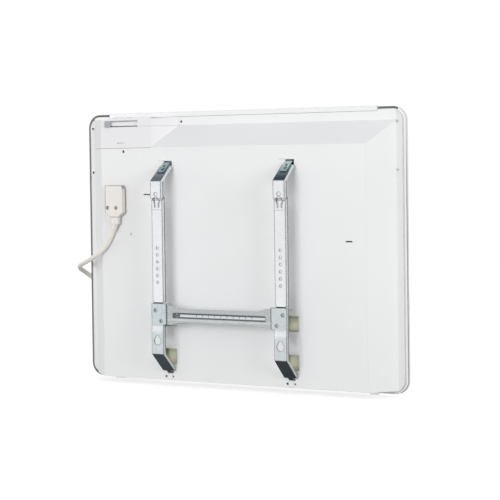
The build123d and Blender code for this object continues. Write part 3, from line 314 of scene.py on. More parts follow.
def seen_plainly(tree):
    """1 for rays that come from the camera, from gloss or through glass."""
    path = tree.nodes.new("ShaderNodeLightPath")
    total = path.outputs["Is Camera Ray"]
    for name in ("Is Glossy Ray", "Is Transmission Ray"):
        join = tree.nodes.new("ShaderNodeMath")
        join.operation = "MAXIMUM"
        tree.links.new(total, join.inputs[0])
        tree.links.new(path.outputs[name], join.inputs[1])
        total = join.outputs[0]
    return total


def white_world():
    """White for what looks at it, and a softer level for what it lights."""
    world = bpy.data.worlds.new("studio")
    bpy.context.scene.world = world
    world.use_nodes = True
    tree = world.node_tree
    background = tree.nodes["Background"]
    background.inputs["Color"].default_value = (1, 1, 1, 1)
    level = tree.nodes.new("ShaderNodeMapRange")
    level.inputs["To Min"].default_value = ambient_level
    level.inputs["To Max"].default_value = 1.0
    tree.links.new(seen_plainly(tree), level.inputs["Value"])
    tree.links.new(level.outputs["Result"], background.inputs["Strength"])


def pale_floor():
    """Plain floor under the part, white where no shadow falls."""
    mesh = bpy.data.meshes.new("floor")
    shape = bmesh.new()
    bmesh.ops.create_grid(shape, x_segments=1, y_segments=1, size=floor_half)
    bmesh.ops.translate(shape, verts=shape.verts, vec=(0, 0, floor_level))
    shape.to_mesh(mesh)
    shape.free()
    floor = bpy.data.objects.new("floor", mesh)
    bpy.context.scene.collection.objects.link(floor)
    material = bpy.data.materials.new("studio_floor")
    material.use_nodes = True
    tree = material.node_tree
    plain = tree.nodes["Principled BSDF"]
    plain.inputs["Base Color"].default_value = (floor_tone, floor_tone, floor_tone, 1)
    plain.inputs["Roughness"].default_value = 1.0
    plain.inputs["Specular IOR Level"].default_value = 0.0
    glow = tree.nodes.new("ShaderNodeEmission")
    glow.inputs["Color"].default_value = (1, 1, 1, 1)
    strength = tree.nodes.new("ShaderNodeMath")
    strength.operation = "MULTIPLY"
    strength.inputs[1].default_value = floor_glow
    tree.links.new(seen_plainly(tree), strength.inputs[0])
    tree.links.new(strength.outputs[0], glow.inputs["Strength"])
    join = tree.nodes.new("ShaderNodeAddShader")
    tree.links.new(plain.outputs[0], join.inputs[0])
    tree.links.new(glow.outputs[0], join.inputs[1])
    output = tree.nodes["Material Output"]
    tree.links.new(join.outputs[0], output.inputs["Surface"])
    mesh.materials.append(material)


def soft_lamp(name, place, target, size, power):
    """A square soft box turned towards a point, not mirrored in bare metal."""
    data = bpy.data.lights.new(name, "AREA")
    data.size = size
    data.energy = power
    lamp = bpy.data.objects.new(name, data)
    lamp.visible_glossy = False
    bpy.context.scene.collection.objects.link(lamp)
    aim = (Vector(target) - Vector(place)).to_track_quat("-Z", "Y")
    lamp.matrix_world = Matrix.Translation(place) @ aim.to_matrix().to_4x4()


def studio():
    """Camera, floor, world and lamps."""
    place_camera()
    white_world()
    pale_floor()
    bpy.context.scene.view_settings.view_transform = "Standard"
    for name, place, size, power in lamps:
        soft_lamp(name, place, lamp_target, size, power)


# Cord

def coil_points():
    """The coil's turns: half turns that wind in, climb a layer and wind out again."""
    x, y, z = cord_route[-1]
    x += coil_lead
    half_step = math.pi / coil_steps / 2
    points = []
    for half in range(coil_halves):
        radius = coil_inner_radius + coil_pitch / 2 * abs(half - coil_climb)
        side = 1 if half % 2 == 0 else -1
        middle = y - side * radius
        reach = side * radius / math.cos(half_step)
        climb = coil_pitch if half == coil_climb else 0
        for step in range(coil_steps):
            share = (step + 0.5) / coil_steps
            turn = math.pi * share
            point = (x + reach * math.sin(turn), middle + reach * math.cos(turn), z + climb * share)
            points.append(point)
        y -= side * 2 * radius
        z += climb
    run = (plug_start - x) / 6
    points.append((x + run, y, z))
    points.append((x + 2 * run, y, z))
    points.append((x + 4 * run, y, plug_axis))
    points.append((x + 5 * run, y, plug_axis))
    points.append((plug_start, y, plug_axis))
    return points


def mains_cord(material):
    """The whole cord, on one smooth line from the strain relief to the plug."""
    data = bpy.data.curves.new("mains_cord", "CURVE")
    data.dimensions = "3D"
    data.bevel_depth = cord_diameter / 2
    data.bevel_resolution = 6
    data.resolution_u = 6
    data.use_fill_caps = True
    points = cord_route + coil_points()
    line = data.splines.new("NURBS")
    line.points.add(len(points) - 1)
    for point, place in zip(line.points, points):
        point.co = (*place, 1)
    line.order_u = 3
    line.use_endpoint_u = True
    data.materials.append(material)
    cord = bpy.data.objects.new("mains_cord", data)
    bpy.context.scene.collection.objects.link(cord)
    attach(cord, "heater")
    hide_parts("power_cord", "cord_coil")
    return cord


# Materials

def group_tree(name, inputs, outputs):
    """A shader node group with named sockets and its end nodes."""
    tree = bpy.data.node_groups.new(name, "ShaderNodeTree")
    for socket, kind, value in inputs:
        made = tree.interface.new_socket(socket, in_out="INPUT", socket_type=kind)
        made.default_value = value
    for socket, kind in outputs:
        tree.interface.new_socket(socket, in_out="OUTPUT", socket_type=kind)
    start = tree.nodes.new("NodeGroupInput")
    end = tree.nodes.new("NodeGroupOutput")
    return tree, start, end


def add_noise(tree, vector, scale, detail=2.0, rough=0.5):
    """A noise texture on a vector; its scale is a number or a socket."""
    noise = tree.nodes.new("ShaderNodeTexNoise")
    noise.inputs["Detail"].default_value = detail
    noise.inputs["Roughness"].default_value = rough
    tree.links.new(vector, noise.inputs["Vector"])
    if isinstance(scale, (int, float)):
        noise.inputs["Scale"].default_value = scale
    else:
        tree.links.new(scale, noise.inputs["Scale"])
    return noise.outputs["Fac"]


def add_range(tree, value, low, high, to_low=0.0, to_high=1.0, smooth=False):
    """A value carried from one range to another."""
    node = tree.nodes.new("ShaderNodeMapRange")
    if smooth:
        node.interpolation_type = "SMOOTHSTEP"
    for name, number in (("From Min", low), ("From Max", high), ("To Min", to_low), ("To Max", to_high)):
        if isinstance(number, (int, float)):
            node.inputs[name].default_value = number
        else:
            tree.links.new(number, node.inputs[name])
    tree.links.new(value, node.inputs["Value"])
    return node.outputs["Result"]


def add_math(tree, kind, first, second=0.0):
    """One sum of two values, each a number or a socket."""
    node = tree.nodes.new("ShaderNodeMath")
    node.operation = kind
    for socket, value in zip(node.inputs, (first, second)):
        if isinstance(value, (int, float)):
            socket.default_value = value
        else:
            tree.links.new(value, socket)
    return node.outputs[0]


def object_place(tree):
    """The place on the piece."""
    return tree.nodes.new("ShaderNodeTexCoord").outputs["Object"]


def coat_group():
    """Fine stipple and a faint uneven tone, for coated sheet and moulded plastic."""
    tree, start, end = group_tree(
        "fine_coat",
        [("Grain", "NodeSocketFloat", 1800.0), ("Tone", "NodeSocketFloat", 0.02)],
        [("Height", "NodeSocketFloat"), ("Shade", "NodeSocketFloat"), ("Rough", "NodeSocketFloat")],
    )
    place = object_place(tree)
    grain = add_noise(tree, place, start.outputs["Grain"], 1.0)
    broad = add_noise(tree, place, 9.0, 3.0)
    low = add_math(tree, "SUBTRACT", 1.0, start.outputs["Tone"])
    high = add_math(tree, "ADD", 1.0, start.outputs["Tone"])
    shade = add_range(tree, broad, 0.3, 0.7, low, high)
    rough = add_range(tree, broad, 0.3, 0.7, 0.46, 0.58)
    tree.links.new(grain, end.inputs["Height"])
    tree.links.new(shade, end.inputs["Shade"])
    tree.links.new(rough, end.inputs["Rough"])
    return tree


def zinc_group():
    """Zinc-plated steel: small crystals, cloudy tone, faint rolling lines and scuffs."""
    tree, start, end = group_tree(
        "zinc_plate",
        [("Crystal", "NodeSocketFloat", 420.0), ("Contrast", "NodeSocketFloat", 0.05)],
        [("Height", "NodeSocketFloat"), ("Shade", "NodeSocketFloat"), ("Rough", "NodeSocketFloat")],
    )
    place = object_place(tree)
    stretch = tree.nodes.new("ShaderNodeMapping")
    stretch.inputs["Scale"].default_value = (1.0, 1.0, 0.04)
    tree.links.new(place, stretch.inputs["Vector"])
    lines = add_noise(tree, stretch.outputs["Vector"], 900.0, 2.0)
    cloud = add_noise(tree, place, 45.0, 4.0, 0.6)
    scuff = add_noise(tree, place, 320.0, 2.0)
    crystal = tree.nodes.new("ShaderNodeTexVoronoi")
    tree.links.new(place, crystal.inputs["Vector"])
    tree.links.new(start.outputs["Crystal"], crystal.inputs["Scale"])
    cell = tree.nodes.new("ShaderNodeSeparateXYZ")
    tree.links.new(crystal.outputs["Color"], cell.inputs[0])
    spread = start.outputs["Contrast"]
    low = add_math(tree, "SUBTRACT", 1.0, spread)
    high = add_math(tree, "ADD", 1.0, spread)
    tone = add_range(tree, cell.outputs["X"], 0.0, 1.0, low, high)
    shade = add_math(tree, "MULTIPLY", tone, add_range(tree, cloud, 0.3, 0.7, 0.95, 1.04))
    wear = add_range(tree, scuff, 0.55, 0.75, 0.0, 0.16)
    rough = add_math(tree, "ADD", add_range(tree, cloud, 0.3, 0.7, 0.24, 0.36), wear)
    tree.links.new(lines, end.inputs["Height"])
    tree.links.new(shade, end.inputs["Shade"])
    tree.links.new(rough, end.inputs["Rough"])
    return tree


def corner_group():
    """Where a surface turns a corner: its rounded normal against its flat one."""
    tree, start, end = group_tree(
        "turned_corner",
        [("Width", "NodeSocketFloat", 0.0006), ("Start", "NodeSocketFloat", 0.985)],
        [("Mask", "NodeSocketFloat")],
    )
    rounded = tree.nodes.new("ShaderNodeBevel")
    rounded.samples = 6
    tree.links.new(start.outputs["Width"], rounded.inputs["Radius"])
    flat = tree.nodes.new("ShaderNodeNewGeometry").outputs["True Normal"]
    match = tree.nodes.new("ShaderNodeVectorMath")
    match.operation = "DOT_PRODUCT"
    tree.links.new(rounded.outputs["Normal"], match.inputs[0])
    tree.links.new(flat, match.inputs[1])
    turned = add_math(tree, "SUBTRACT", start.outputs["Start"], match.outputs["Value"])
    tree.links.new(add_range(tree, turned, 0.0, 0.08), end.inputs["Mask"])
    return tree


fine_coat = coat_group()
zinc_plate = zinc_group()
turned_corner = corner_group()


class Finish:
    """A material whose colour is one plain tone with tints laid over it under masks."""

    def __init__(self, name, effect, colour, **values):
        self.material = bpy.data.materials.new(name)
        self.material.use_nodes = True
        self.tree = self.material.node_tree
        self.shader = self.tree.nodes["Principled BSDF"]
        self.effect = self.group(effect, **values)
        self.tone = self.plain(colour)

    def group(self, tree, **values):
        """One of the shared effects."""
        node = self.tree.nodes.new("ShaderNodeGroup")
        node.node_tree = tree
        for socket, value in values.items():
            node.inputs[socket].default_value = value
        return node

    def plain(self, colour):
        """A colour as a socket."""
        node = self.tree.nodes.new("ShaderNodeRGB")
        node.outputs[0].default_value = (*colour, 1)
        return node.outputs[0]

    def part(self, output, axis):
        """One axis of the place on the piece, or of the way that its surface faces."""
        node = self.tree.nodes.new("ShaderNodeSeparateXYZ")
        coordinate = self.tree.nodes.new("ShaderNodeTexCoord").outputs[output]
        self.tree.links.new(coordinate, node.inputs[0])
        return node.outputs[axis]

    def place(self, axis, low, high):
        """A mask that rises from 0 to 1 between two places."""
        return add_range(self.tree, self.part("Object", axis), low, high, smooth=True)

    def around(self, axis, middle, reach, soft):
        """A mask of 1 within a reach of a place and 0 beyond its soft edge."""
        away = add_math(self.tree, "SUBTRACT", self.part("Object", axis), middle)
        away = add_math(self.tree, "ABSOLUTE", away)
        return add_range(self.tree, away, reach + soft, reach, smooth=True)

    def facing(self, axis, low, high):
        """A mask that rises as the surface turns to face along an axis."""
        return add_range(self.tree, self.part("Normal", axis), low, high)

    def flank(self, axis, low, high):
        """A mask that rises as the surface turns to face either way along an axis."""
        turned = add_math(self.tree, "ABSOLUTE", self.part("Normal", axis))
        return add_range(self.tree, turned, low, high)

    def corners(self, width, start=0.985):
        """A mask along the piece's edges, from a match of its normals on."""
        return self.group(turned_corner, Width=width, Start=start).outputs["Mask"]

    def inset(self):
        """The distance in from the rounded outline of the glass."""
        across = add_math(self.tree, "ABSOLUTE", self.part("Object", "X"))
        across = add_math(self.tree, "SUBTRACT", across, glass_half - glass_corner)
        up = add_math(self.tree, "SUBTRACT", self.part("Object", "Z"), glass_middle)
        up = add_math(self.tree, "SUBTRACT", add_math(self.tree, "ABSOLUTE", up), glass_rise - glass_corner)
        beside = add_math(self.tree, "MAXIMUM", across, up)
        inside = add_math(self.tree, "MINIMUM", beside, 0.0)
        squares = [add_math(self.tree, "MAXIMUM", side, 0.0) for side in (across, up)]
        squares = [add_math(self.tree, "POWER", side, 2.0) for side in squares]
        reach = add_math(self.tree, "SQRT", add_math(self.tree, "ADD", *squares))
        return add_math(self.tree, "SUBTRACT", glass_corner, add_math(self.tree, "ADD", reach, inside))

    def from_tick(self):
        """The distance along X from the nearest tick of the scale."""
        steps = add_math(self.tree, "SUBTRACT", self.part("Object", "X"), tick_first - tick_pitch / 2)
        steps = add_math(self.tree, "ADD", steps, tick_count * tick_pitch)
        steps = add_math(self.tree, "MODULO", steps, tick_pitch)
        return add_math(self.tree, "ABSOLUTE", add_math(self.tree, "SUBTRACT", steps, tick_pitch / 2))

    def range(self, value, low, high):
        """A mask that rises from 0 to 1 as a value goes from one number to another."""
        return add_range(self.tree, value, low, high)

    def specks(self, scale, low, high):
        """A mask of small irregular specks."""
        noise = add_noise(self.tree, object_place(self.tree), scale, 2.0)
        return add_range(self.tree, noise, low, high)

    def tint(self, colour, *masks, share=1.0):
        """Lay a colour over the tone where all the masks allow it."""
        factor = share
        for mask in masks:
            factor = add_math(self.tree, "MULTIPLY", mask, factor)
        mix = self.tree.nodes.new("ShaderNodeMix")
        mix.data_type = "RGBA"
        self.tree.links.new(self.tone, mix.inputs["A"])
        mix.inputs["B"].default_value = (*colour, 1)
        self.tree.links.new(factor, mix.inputs["Factor"])
        self.tone = mix.outputs["Result"]
        return self

    def done(self, depth, metallic=0.0, gloss=0.5):
        """Join the tone, the roughness and a bump of a given depth in metres to the shader."""
        shade = self.tree.nodes.new("ShaderNodeCombineXYZ")
        for socket in shade.inputs:
            self.tree.links.new(self.effect.outputs["Shade"], socket)
        product = self.tree.nodes.new("ShaderNodeVectorMath")
        product.operation = "MULTIPLY"
        self.tree.links.new(self.tone, product.inputs[0])
        self.tree.links.new(shade.outputs[0], product.inputs[1])
        self.tree.links.new(product.outputs[0], self.shader.inputs["Base Color"])
        self.tree.links.new(self.effect.outputs["Rough"], self.shader.inputs["Roughness"])
        bump = self.tree.nodes.new("ShaderNodeBump")
        bump.inputs["Distance"].default_value = depth
        self.tree.links.new(self.effect.outputs["Height"], bump.inputs["Height"])
        self.tree.links.new(bump.outputs["Normal"], self.shader.inputs["Normal"])
        self.shader.inputs["Metallic"].default_value = metallic
        self.shader.inputs["Specular IOR Level"].default_value = gloss
        return self.material


def coated(name, colour, grain=1800.0, depth=0.00004, tone=0.02, gloss=0.5):
    """Plain coated sheet or moulded plastic."""
    return Finish(name, fine_coat, colour, Grain=grain, Tone=tone).done(depth, gloss=gloss)


def plated(name, colour, edge=None, contrast=0.05):
    """Plain plated metal, with painted shade along its edges if they have a colour."""
    finish = Finish(name, zinc_plate, colour, Contrast=contrast)
    if edge:
        # Painted shade along the edges.
        finish.tint(edge, finish.corners(0.0006))
    return finish.done(0.00001, metallic=1.0)


def casing_finish():
    """White powder coat, with painted shade on its upward faces, along folds, at the edges of its openings
    and along its left and right rims.
    """
    finish = Finish("powder_coat_white", fine_coat, coat_white, Grain=1500.0, Tone=0.012)
    # Painted shade: upward faces greyer, as if less lit.
    upward = finish.facing("Z", 0.3, 0.5)
    finish.tint(coat_upper_slope_shade, upward, finish.facing("Z", 0.97, 0.9), share=0.45)
    # Painted shade along the folds.
    finish.tint(coat_fold_shade, finish.corners(0.0012), share=0.12)
    # Painted shade at the edges of the openings.
    finish.tint(coat_opening_shade, finish.corners(0.001, sharp_turn), share=0.6)
    # Painted shade on the return wall of the right rim.
    finish.tint(coat_right_rim_shade, finish.place("X", *right_rim), share=0.8)
    # Painted shade: a dark line along the left rim.
    outline = finish.range(finish.inset(), *casing_outline)
    finish.tint(coat_outline_shade, outline, finish.place("X", *left_rim))
    return finish.done(0.00004)


def housing_finish():
    """White moulded plastic, with painted shade along its sharp edges and painted shadow lines along the
    slot of the lock.
    """
    finish = Finish("moulded_white", fine_coat, housing_white, Grain=900.0, Tone=0.01)
    # Painted shade along the sharp edges.
    finish.tint(housing_edge_shade, finish.corners(0.0008, sharp_turn), share=0.5)
    rear = finish.facing("Y", -0.7, -0.95)
    middle = (lock_slot_start + lock_slot_end) / 2
    along = finish.around("X", middle, (lock_slot_end - lock_slot_start) / 2, line_soft)
    # Painted shadow under the slot's top edge.
    top = finish.around("Z", lock_line_top, 0.0006, line_soft)
    finish.tint(lock_top_shadow, rear, along, top)
    # Painted shade in the gap at the slot's foot, carried on past its end.
    foot = finish.around("Z", lock_line_foot, 0.0004, line_soft)
    finish.tint(lock_foot_shade, rear, along, foot)
    beyond = finish.place("X", lock_slot_end + 0.001, lock_slot_end + 0.003)
    finish.tint(housing_edge_shade, beyond, foot, share=0.35)
    return finish.done(0.00002)


def grille_finish():
    """White inlet strip, with painted shade, near black, on the side of its flange that lies against the
    casing.
    """
    finish = Finish("inlet_white", fine_coat, coat_white, Grain=1500.0)
    # Painted shade: the flange's back, seen through the casing's holes, made near black.
    finish.tint(gap_shade_black, finish.facing("Y", -0.5, -0.9))
    return finish.done(0.00004)


def cream_finish():
    """Cream moulding, with painted shade on its flanks and top and as brown lines along its edges and round
    its foot.
    """
    finish = Finish("moulded_cream", fine_coat, box_cream, Grain=900.0, Tone=0.015)
    # Painted shade: flanks warmer and darker, top dark, lines along edges.
    finish.tint(box_flank_shade, finish.facing("Y", -0.55, -0.2))
    finish.tint(box_corner_shade, finish.corners(0.0018), share=0.5)
    finish.tint(box_top_shade, finish.facing("Z", 0.25, 0.6), share=0.8)
    finish.tint(box_left_shade, finish.place("X", *box_left_edge), share=0.75)
    # Painted shade by the rear face and painted shadow round the foot where it meets the casing.
    outline = finish.facing("Y", -0.97, -0.8)
    finish.tint(box_rear_shade, outline, finish.place("Y", *box_rear_edge), share=0.35)
    finish.tint(box_foot_shadow, outline, finish.place("Y", *box_foot_edge), share=0.85)
    return finish.done(0.00002)


def rail_finish(name, tone, arm_bend_reflection, arm_tip_reflection):
    """Bright channel with painted shade lines along its flange, its tongue's cut and its edges; its sloping
    arm carries a painted dark reflection from one grey to another, and its tail is painted shade.
    """
    finish = Finish(name, zinc_plate, tone, Contrast=0.015)
    web = finish.flank("X", 0.6, 0.3)
    side = finish.flank("X", 0.3, 0.6)
    above = finish.place("Z", joggle_level, joggle_level + step_soft)
    below = finish.range(above, 1.0, 0.0)
    straight = finish.place("Z", arm_foot, arm_foot - step_soft)
    near, far = flange_reach - flange_line, flange_reach - flange_line + line_soft
    # Painted shade as a line along the flange, above and below the joggle.
    finish.tint(rail_flange_shade, side, above, straight, finish.place("Y", near, far), share=0.85)
    near, far = near + rail_set_back, far + rail_set_back
    finish.tint(rail_flange_shade, side, below, finish.place("Y", near, far), share=0.85)
    # Painted shade as a line across the web at the tongue's cut.
    finish.tint(rail_tongue_shade, web, finish.around("Z", tongue_line, 0.0003, 0.0006), share=0.5)
    # Painted reflection: the sloping arm darkens from its bend to its tip.
    finish.tint(arm_bend_reflection, web, finish.place("Z", arm_foot - bend_soft, arm_foot + bend_soft))
    finish.tint(arm_tip_reflection, web, finish.place("Z", arm_foot + 0.003, arm_tip))
    # Painted shade in the gap at the rail's tail, and along the edges.
    finish.tint(rail_tail_shade, web, finish.place("Z", joint_level + 0.0001, joint_level - 0.0001))
    finish.tint(rail_corner_shade, finish.corners(0.0025), straight, share=0.9)
    return finish.done(0.00001, metallic=1.0)


def strap_finish(name, ear, arm_reflection):
    """Duller strap: mottled at the joint, with a painted highlight under its fold, painted light on its
    flanges, painted shade lines, and a near-black painted reflection on its arm.
    """
    finish = Finish(name, zinc_plate, strap_zinc, Crystal=500.0, Contrast=0.06)
    web = finish.flank("X", 0.6, 0.3)
    side = finish.flank("X", 0.3, 0.6)
    below = finish.place("Z", fold_top, fold_foot)
    # Painted highlight: a bright band under the fold, fading downwards.
    glow = finish.place("Z", strap_shade, strap_fold - 0.001)
    finish.tint(strap_web, web, below)
    finish.tint(strap_fold_highlight, web, below, glow)
    straight = finish.place("Z", lower_bend, lower_bend + step_soft)
    # Painted light: the flanges lighter.
    finish.tint(strap_side_lit, side)
    near = flange_reach - flange_line
    # Painted shade as lines along the flange, the ear's edge and every edge.
    finish.tint(strap_side_shade, side, straight, finish.place("Y", near, near + line_soft), share=0.75)
    finish.tint(strap_ear_shade, web, finish.around("X", ear, 0.0006, line_soft), share=0.75)
    # Painted reflection: the arm below its bend near black.
    finish.tint(arm_reflection, web, finish.place("Z", lower_bend + bend_soft, lower_bend - bend_soft))
    finish.tint(strap_corner_shade, finish.corners(0.0019), share=0.85)
    return finish.done(0.00001, metallic=1.0)


def bar_finish():
    """Mottled bar, with a painted highlight below its slot and painted shade round its slot and along its
    edges.
    """
    finish = Finish("bar_zinc", zinc_plate, bar_zinc, Crystal=500.0, Contrast=0.06)
    # Painted highlight below the slot.
    light = finish.around("Z", bar_level - slot_half - 0.003, 0.0004, 0.0016)
    finish.tint(bar_highlight, light, share=0.6)
    # Painted shade round the slot and along the edges.
    slot = finish.around("Z", bar_level, slot_half + 0.0014, line_soft)
    finish.tint(bar_slot_shade, finish.corners(0.0022), slot, share=0.95)
    finish.tint(bar_corner_shade, finish.corners(0.0009), share=0.25)
    return finish.done(0.00001, metallic=1.0)


def scale_finish():
    """White strip, with painted shade along the slot's edges and over its left end, and dark on its ticks.
    """
    finish = Finish("scale_face", fine_coat, scale_white, Grain=900.0)
    # Painted shade: dark outside a band along the slot's middle.
    inside = finish.around("Z", bar_level - 0.0002, slot_half - 0.0018, 0.0006)
    finish.tint(scale_slot_shade, finish.range(inside, 1.0, 0.0))
    marks = finish.range(finish.from_tick(), 0.0009, 0.0005)
    middle = tick_first + (tick_count - 1) / 2 * tick_pitch
    span = finish.around("X", middle, tick_count / 2 * tick_pitch, 0.0001)
    high = finish.around("Z", tick_level, tick_half, line_soft)
    finish.tint(scale_tick, marks, span, high, share=0.7)
    # Painted shade over the left end, with lighter specks in it.
    end = finish.place("X", scale_dark_end + line_soft, scale_dark_end - line_soft)
    finish.tint(scale_end_shade, end)
    finish.tint(scale_speck, end, finish.specks(700.0, 0.5, 0.6))
    return finish.done(0.00002)


def catch_finish(name, foot, head):
    """Spring steel, with a painted dark reflection on its slope that runs from one grey to another and is
    paler on its nose, and painted shade along its edges.
    """
    finish = Finish(name, zinc_plate, catch_steel, Contrast=0.04)
    # Painted reflection on the slope and the nose, and painted shade along the edges.
    slope = finish.facing("Z", 0.95, 0.85)
    finish.tint(foot, slope)
    finish.tint(head, slope, finish.place("Z", catch_bend_level + 0.006, catch_top))
    finish.tint(catch_corner_shade, finish.corners(0.0009), share=0.45)
    return finish.done(0.00001, metallic=1.0)


def rivet_finish():
    """Rivet ends in the tone of the strap, with painted shade in their cups."""
    finish = Finish("rivet_zinc", zinc_plate, rivet_zinc, Contrast=0.03)
    # Painted shade on the walls of the cups.
    finish.tint(rivet_cup_shade, finish.facing("Y", -0.97, -0.8), share=0.9)
    return finish.done(0.00001, metallic=1.0)


def screw_finish():
    """Casing screws with white rims and dark middles; the right pair is coated all over."""
    finish = Finish("screw_head", fine_coat, screw_dark, Grain=900.0)
    finish.tint(screw_rim, finish.facing("Y", -0.97, -0.8))
    finish.tint(screw_coated, finish.place("X", *right_screws), share=0.8)
    return finish.done(0.00002)


def window_finish():
    """Yellow passivated inner sheet, with painted shadow under the top edge of each window and near-black
    painted shade behind the hook slots and dashes.
    """
    finish = Finish("inner_sheet", fine_coat, sheet_yellow, Grain=1200.0, Tone=0.04)
    # Painted shadow of each window's top edge on the sheet.
    for top in window_tops:
        finish.tint(sheet_shadow, finish.around("Z", top, *window_shade), share=0.8)
    # Painted shade: near-black bands behind the hook slots and the dashes.
    finish.tint(gap_shade_black, finish.around("Z", hook_slot, hook_slot_half, step_soft))
    finish.tint(gap_shade_black, finish.around("Z", dash_level, dash_half, step_soft))
    left = finish.place("X", 0.0, -step_soft)
    finish.tint(sheet_white, left, finish.place("Z", white_window, white_window + step_soft))
    return finish.done(0.00003, metallic=0.85)


def glass_finish():
    """Toughened glass painted white behind, with a dark line at its back round the casing."""
    finish = Finish("painted_glass", fine_coat, glass_white, Grain=60.0, Tone=0.004)
    rear = finish.facing("Y", -0.4, -0.8)
    inset = finish.inset()
    right = finish.place("X", *glass_right)
    left = finish.range(right, 1.0, 0.0)
    outline = finish.range(inset, *glass_outline)
    above = finish.place("Z", *outline_above)
    corner = finish.place("X", *outline_corner)
    reach = add_math(finish.tree, "MAXIMUM", above, corner)
    finish.tint(glass_left_line, rear, outline, reach, left)
    edge = finish.range(inset, *glass_edge)
    finish.tint(glass_right_line, rear, edge, right, share=0.5)
    finish.tint(glass_lower_line, rear, edge, right, finish.place("Z", *glass_lower), share=0.8)
    material = finish.done(0.0)
    sheen = add_noise(finish.tree, object_place(finish.tree), 14.0, 2.0)
    smooth = add_range(finish.tree, sheen, 0.3, 0.7, 0.03, 0.07)
    finish.tree.links.new(smooth, finish.shader.inputs["Roughness"])
    return material


def panel_finishes():
    """The front, the casing and what is inside it."""
    casing = casing_finish()
    inner = window_finish()
    clip = plated("clip_steel", (0.8, 0.81, 0.83), (0.2, 0.2, 0.21))
    return {
        "front_glass": glass_finish(),
        "front_plate": casing,
        "bonding_strips": coated("bond_grey", (0.12, 0.12, 0.12), 500.0),
        "glass_clips": clip,
        "rear_casing": casing,
        "casing_screws": screw_finish(),
        "outlet_grille": casing,
        "inlet_grille": grille_finish(),
        "heat_shield": inner,
        "compartment_wall": inner,
        "heating_element": plated("element_aluminium", (0.75, 0.76, 0.78), (0.4, 0.4, 0.4)),
        "element_rod": plated("rod_steel", (0.45, 0.44, 0.42), (0.2, 0.2, 0.2)),
        "element_supports": clip,
        "thermal_cutout": coated("dark_plastic", (0.03, 0.03, 0.035)),
        "terminal_block": coated("block_cream", (0.8, 0.78, 0.72)),
        "inner_wiring": coated("wire_cover", (0.08, 0.12, 0.3)),
    }


def control_finishes():
    """The housing in the corner, its display, keys and lock."""
    housing = housing_finish()
    key_grey = coated("key_plastic", (0.6, 0.61, 0.63))
    return {
        "control_housing": housing,
        "control_module": housing,
        "display_window": coated("display_face", (0.04, 0.05, 0.05), tone=0.05, gloss=0.8),
        "control_board": coated("circuit_board", (0.05, 0.2, 0.09)),
        "key_minus": key_grey,
        "key_plus": key_grey,
        "key_mode": key_grey,
        "lock_slider": coated("knob_plastic", (0.44, 0.47, 0.52), 600.0, 0.00005),
    }


def mains_finishes():
    """The connector box, the cord and its plug."""
    cream = cream_finish()
    cord = coated("cord_rubber", (0.85, 0.83, 0.75), 700.0, 0.00003)
    return {
        "connector_housing": cream,
        "connector_screws": plated("box_screw_zinc", (0.66, 0.64, 0.6), (0.3, 0.29, 0.27)),
        "strain_relief": cream,
        "power_cord": cord,
        "cord_coil": cord,
        "coil_tie": coated("tie_band", (0.16, 0.16, 0.165), 500.0, 0.0001),
        "plug_body": coated("plug_moulding", (0.85, 0.83, 0.76), 900.0, 0.00003),
        "plug_pins": plated("plated_pins", (0.8, 0.78, 0.72), (0.4, 0.38, 0.34)),
    }


def bracket_finishes():
    """The wall bracket."""
    return {
        # Painted light: the left rail's plain tone is a little lighter and the right's a little darker, for
        # how each is lit.
        "rail_left": rail_finish("rail_left_zinc", rail_left_lit_tone, rail_left_bend_reflection, rail_left_tip_reflection),
        "rail_right": rail_finish("rail_right_zinc", rail_right_shaded_tone, rail_right_bend_reflection, rail_right_tip_reflection),
        "strap_left": strap_finish("strap_left_zinc", -ear_edge, strap_left_arm_reflection),
        "strap_right": strap_finish("strap_right_zinc", ear_edge, strap_right_arm_reflection),
        "cross_bar": bar_finish(),
        "scale_strip": scale_finish(),
        "clinch_rivets": rivet_finish(),
        "catch_left": catch_finish("catch_left_steel", catch_left_foot_reflection, catch_left_head_reflection),
        "catch_right": catch_finish("catch_right_steel", catch_right_foot_reflection, catch_right_head_reflection),
        "catch_rivets": plated("catch_rivet_zinc", (0.3, 0.36, 0.38), (0.16, 0.2, 0.21)),
    }


def dress():
    """Every CAD node gets its own finish."""
    finishes = {}
    for group in (panel_finishes, control_finishes, mains_finishes, bracket_finishes):
        finishes.update(group())
    for name, material in finishes.items():
        mesh = nodes[name].data
        mesh.materials.clear()
        mesh.materials.append(material)
    return finishes


# Pieces beside the CAD nodes

def finished_piece(shape, name, material, body):
    """A piece from its worked shape, with its faces outwards, riding on a body."""
    bmesh.ops.recalc_face_normals(shape, faces=shape.faces)
    mesh = bpy.data.meshes.new(name)
    shape.to_mesh(mesh)
    shape.free()
    mesh.materials.append(material)
    piece = bpy.data.objects.new(name, mesh)
    bpy.context.scene.collection.objects.link(piece)
    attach(piece, body)
    return piece


def turn_profile(shape, profile, centre, axis, steps):
    """A closed round solid from a line that starts and ends on its axis."""
    verts = [shape.verts.new(point) for point in profile]
    edges = [shape.edges.new(pair) for pair in zip(verts, verts[1:])]
    bmesh.ops.spin(
        shape, geom=verts + edges, cent=centre, axis=axis, angle=2 * math.pi,
        steps=steps, use_merge=True,
    )
    bmesh.ops.remove_doubles(shape, verts=shape.verts, dist=0.000001)


def pressed_marks(material):
    """Low round bosses pressed in the back of the casing."""
    shape = bmesh.new()
    sink = casing_back + mark_sink
    crest = casing_back - mark_height
    dish = casing_back - mark_dish
    for x, z in casing_marks:
        profile = [
            (x, sink, z), (x, sink, z + mark_radius), (x, crest, z + 0.65 * mark_radius),
            (x, crest, z + 0.5 * mark_radius), (x, dish, z + 0.3 * mark_radius), (x, dish, z),
        ]
        turn_profile(shape, profile, (x, 0, z), (0, 1, 0), mark_steps)
    finished_piece(shape, "casing_bosses", material, "heater")


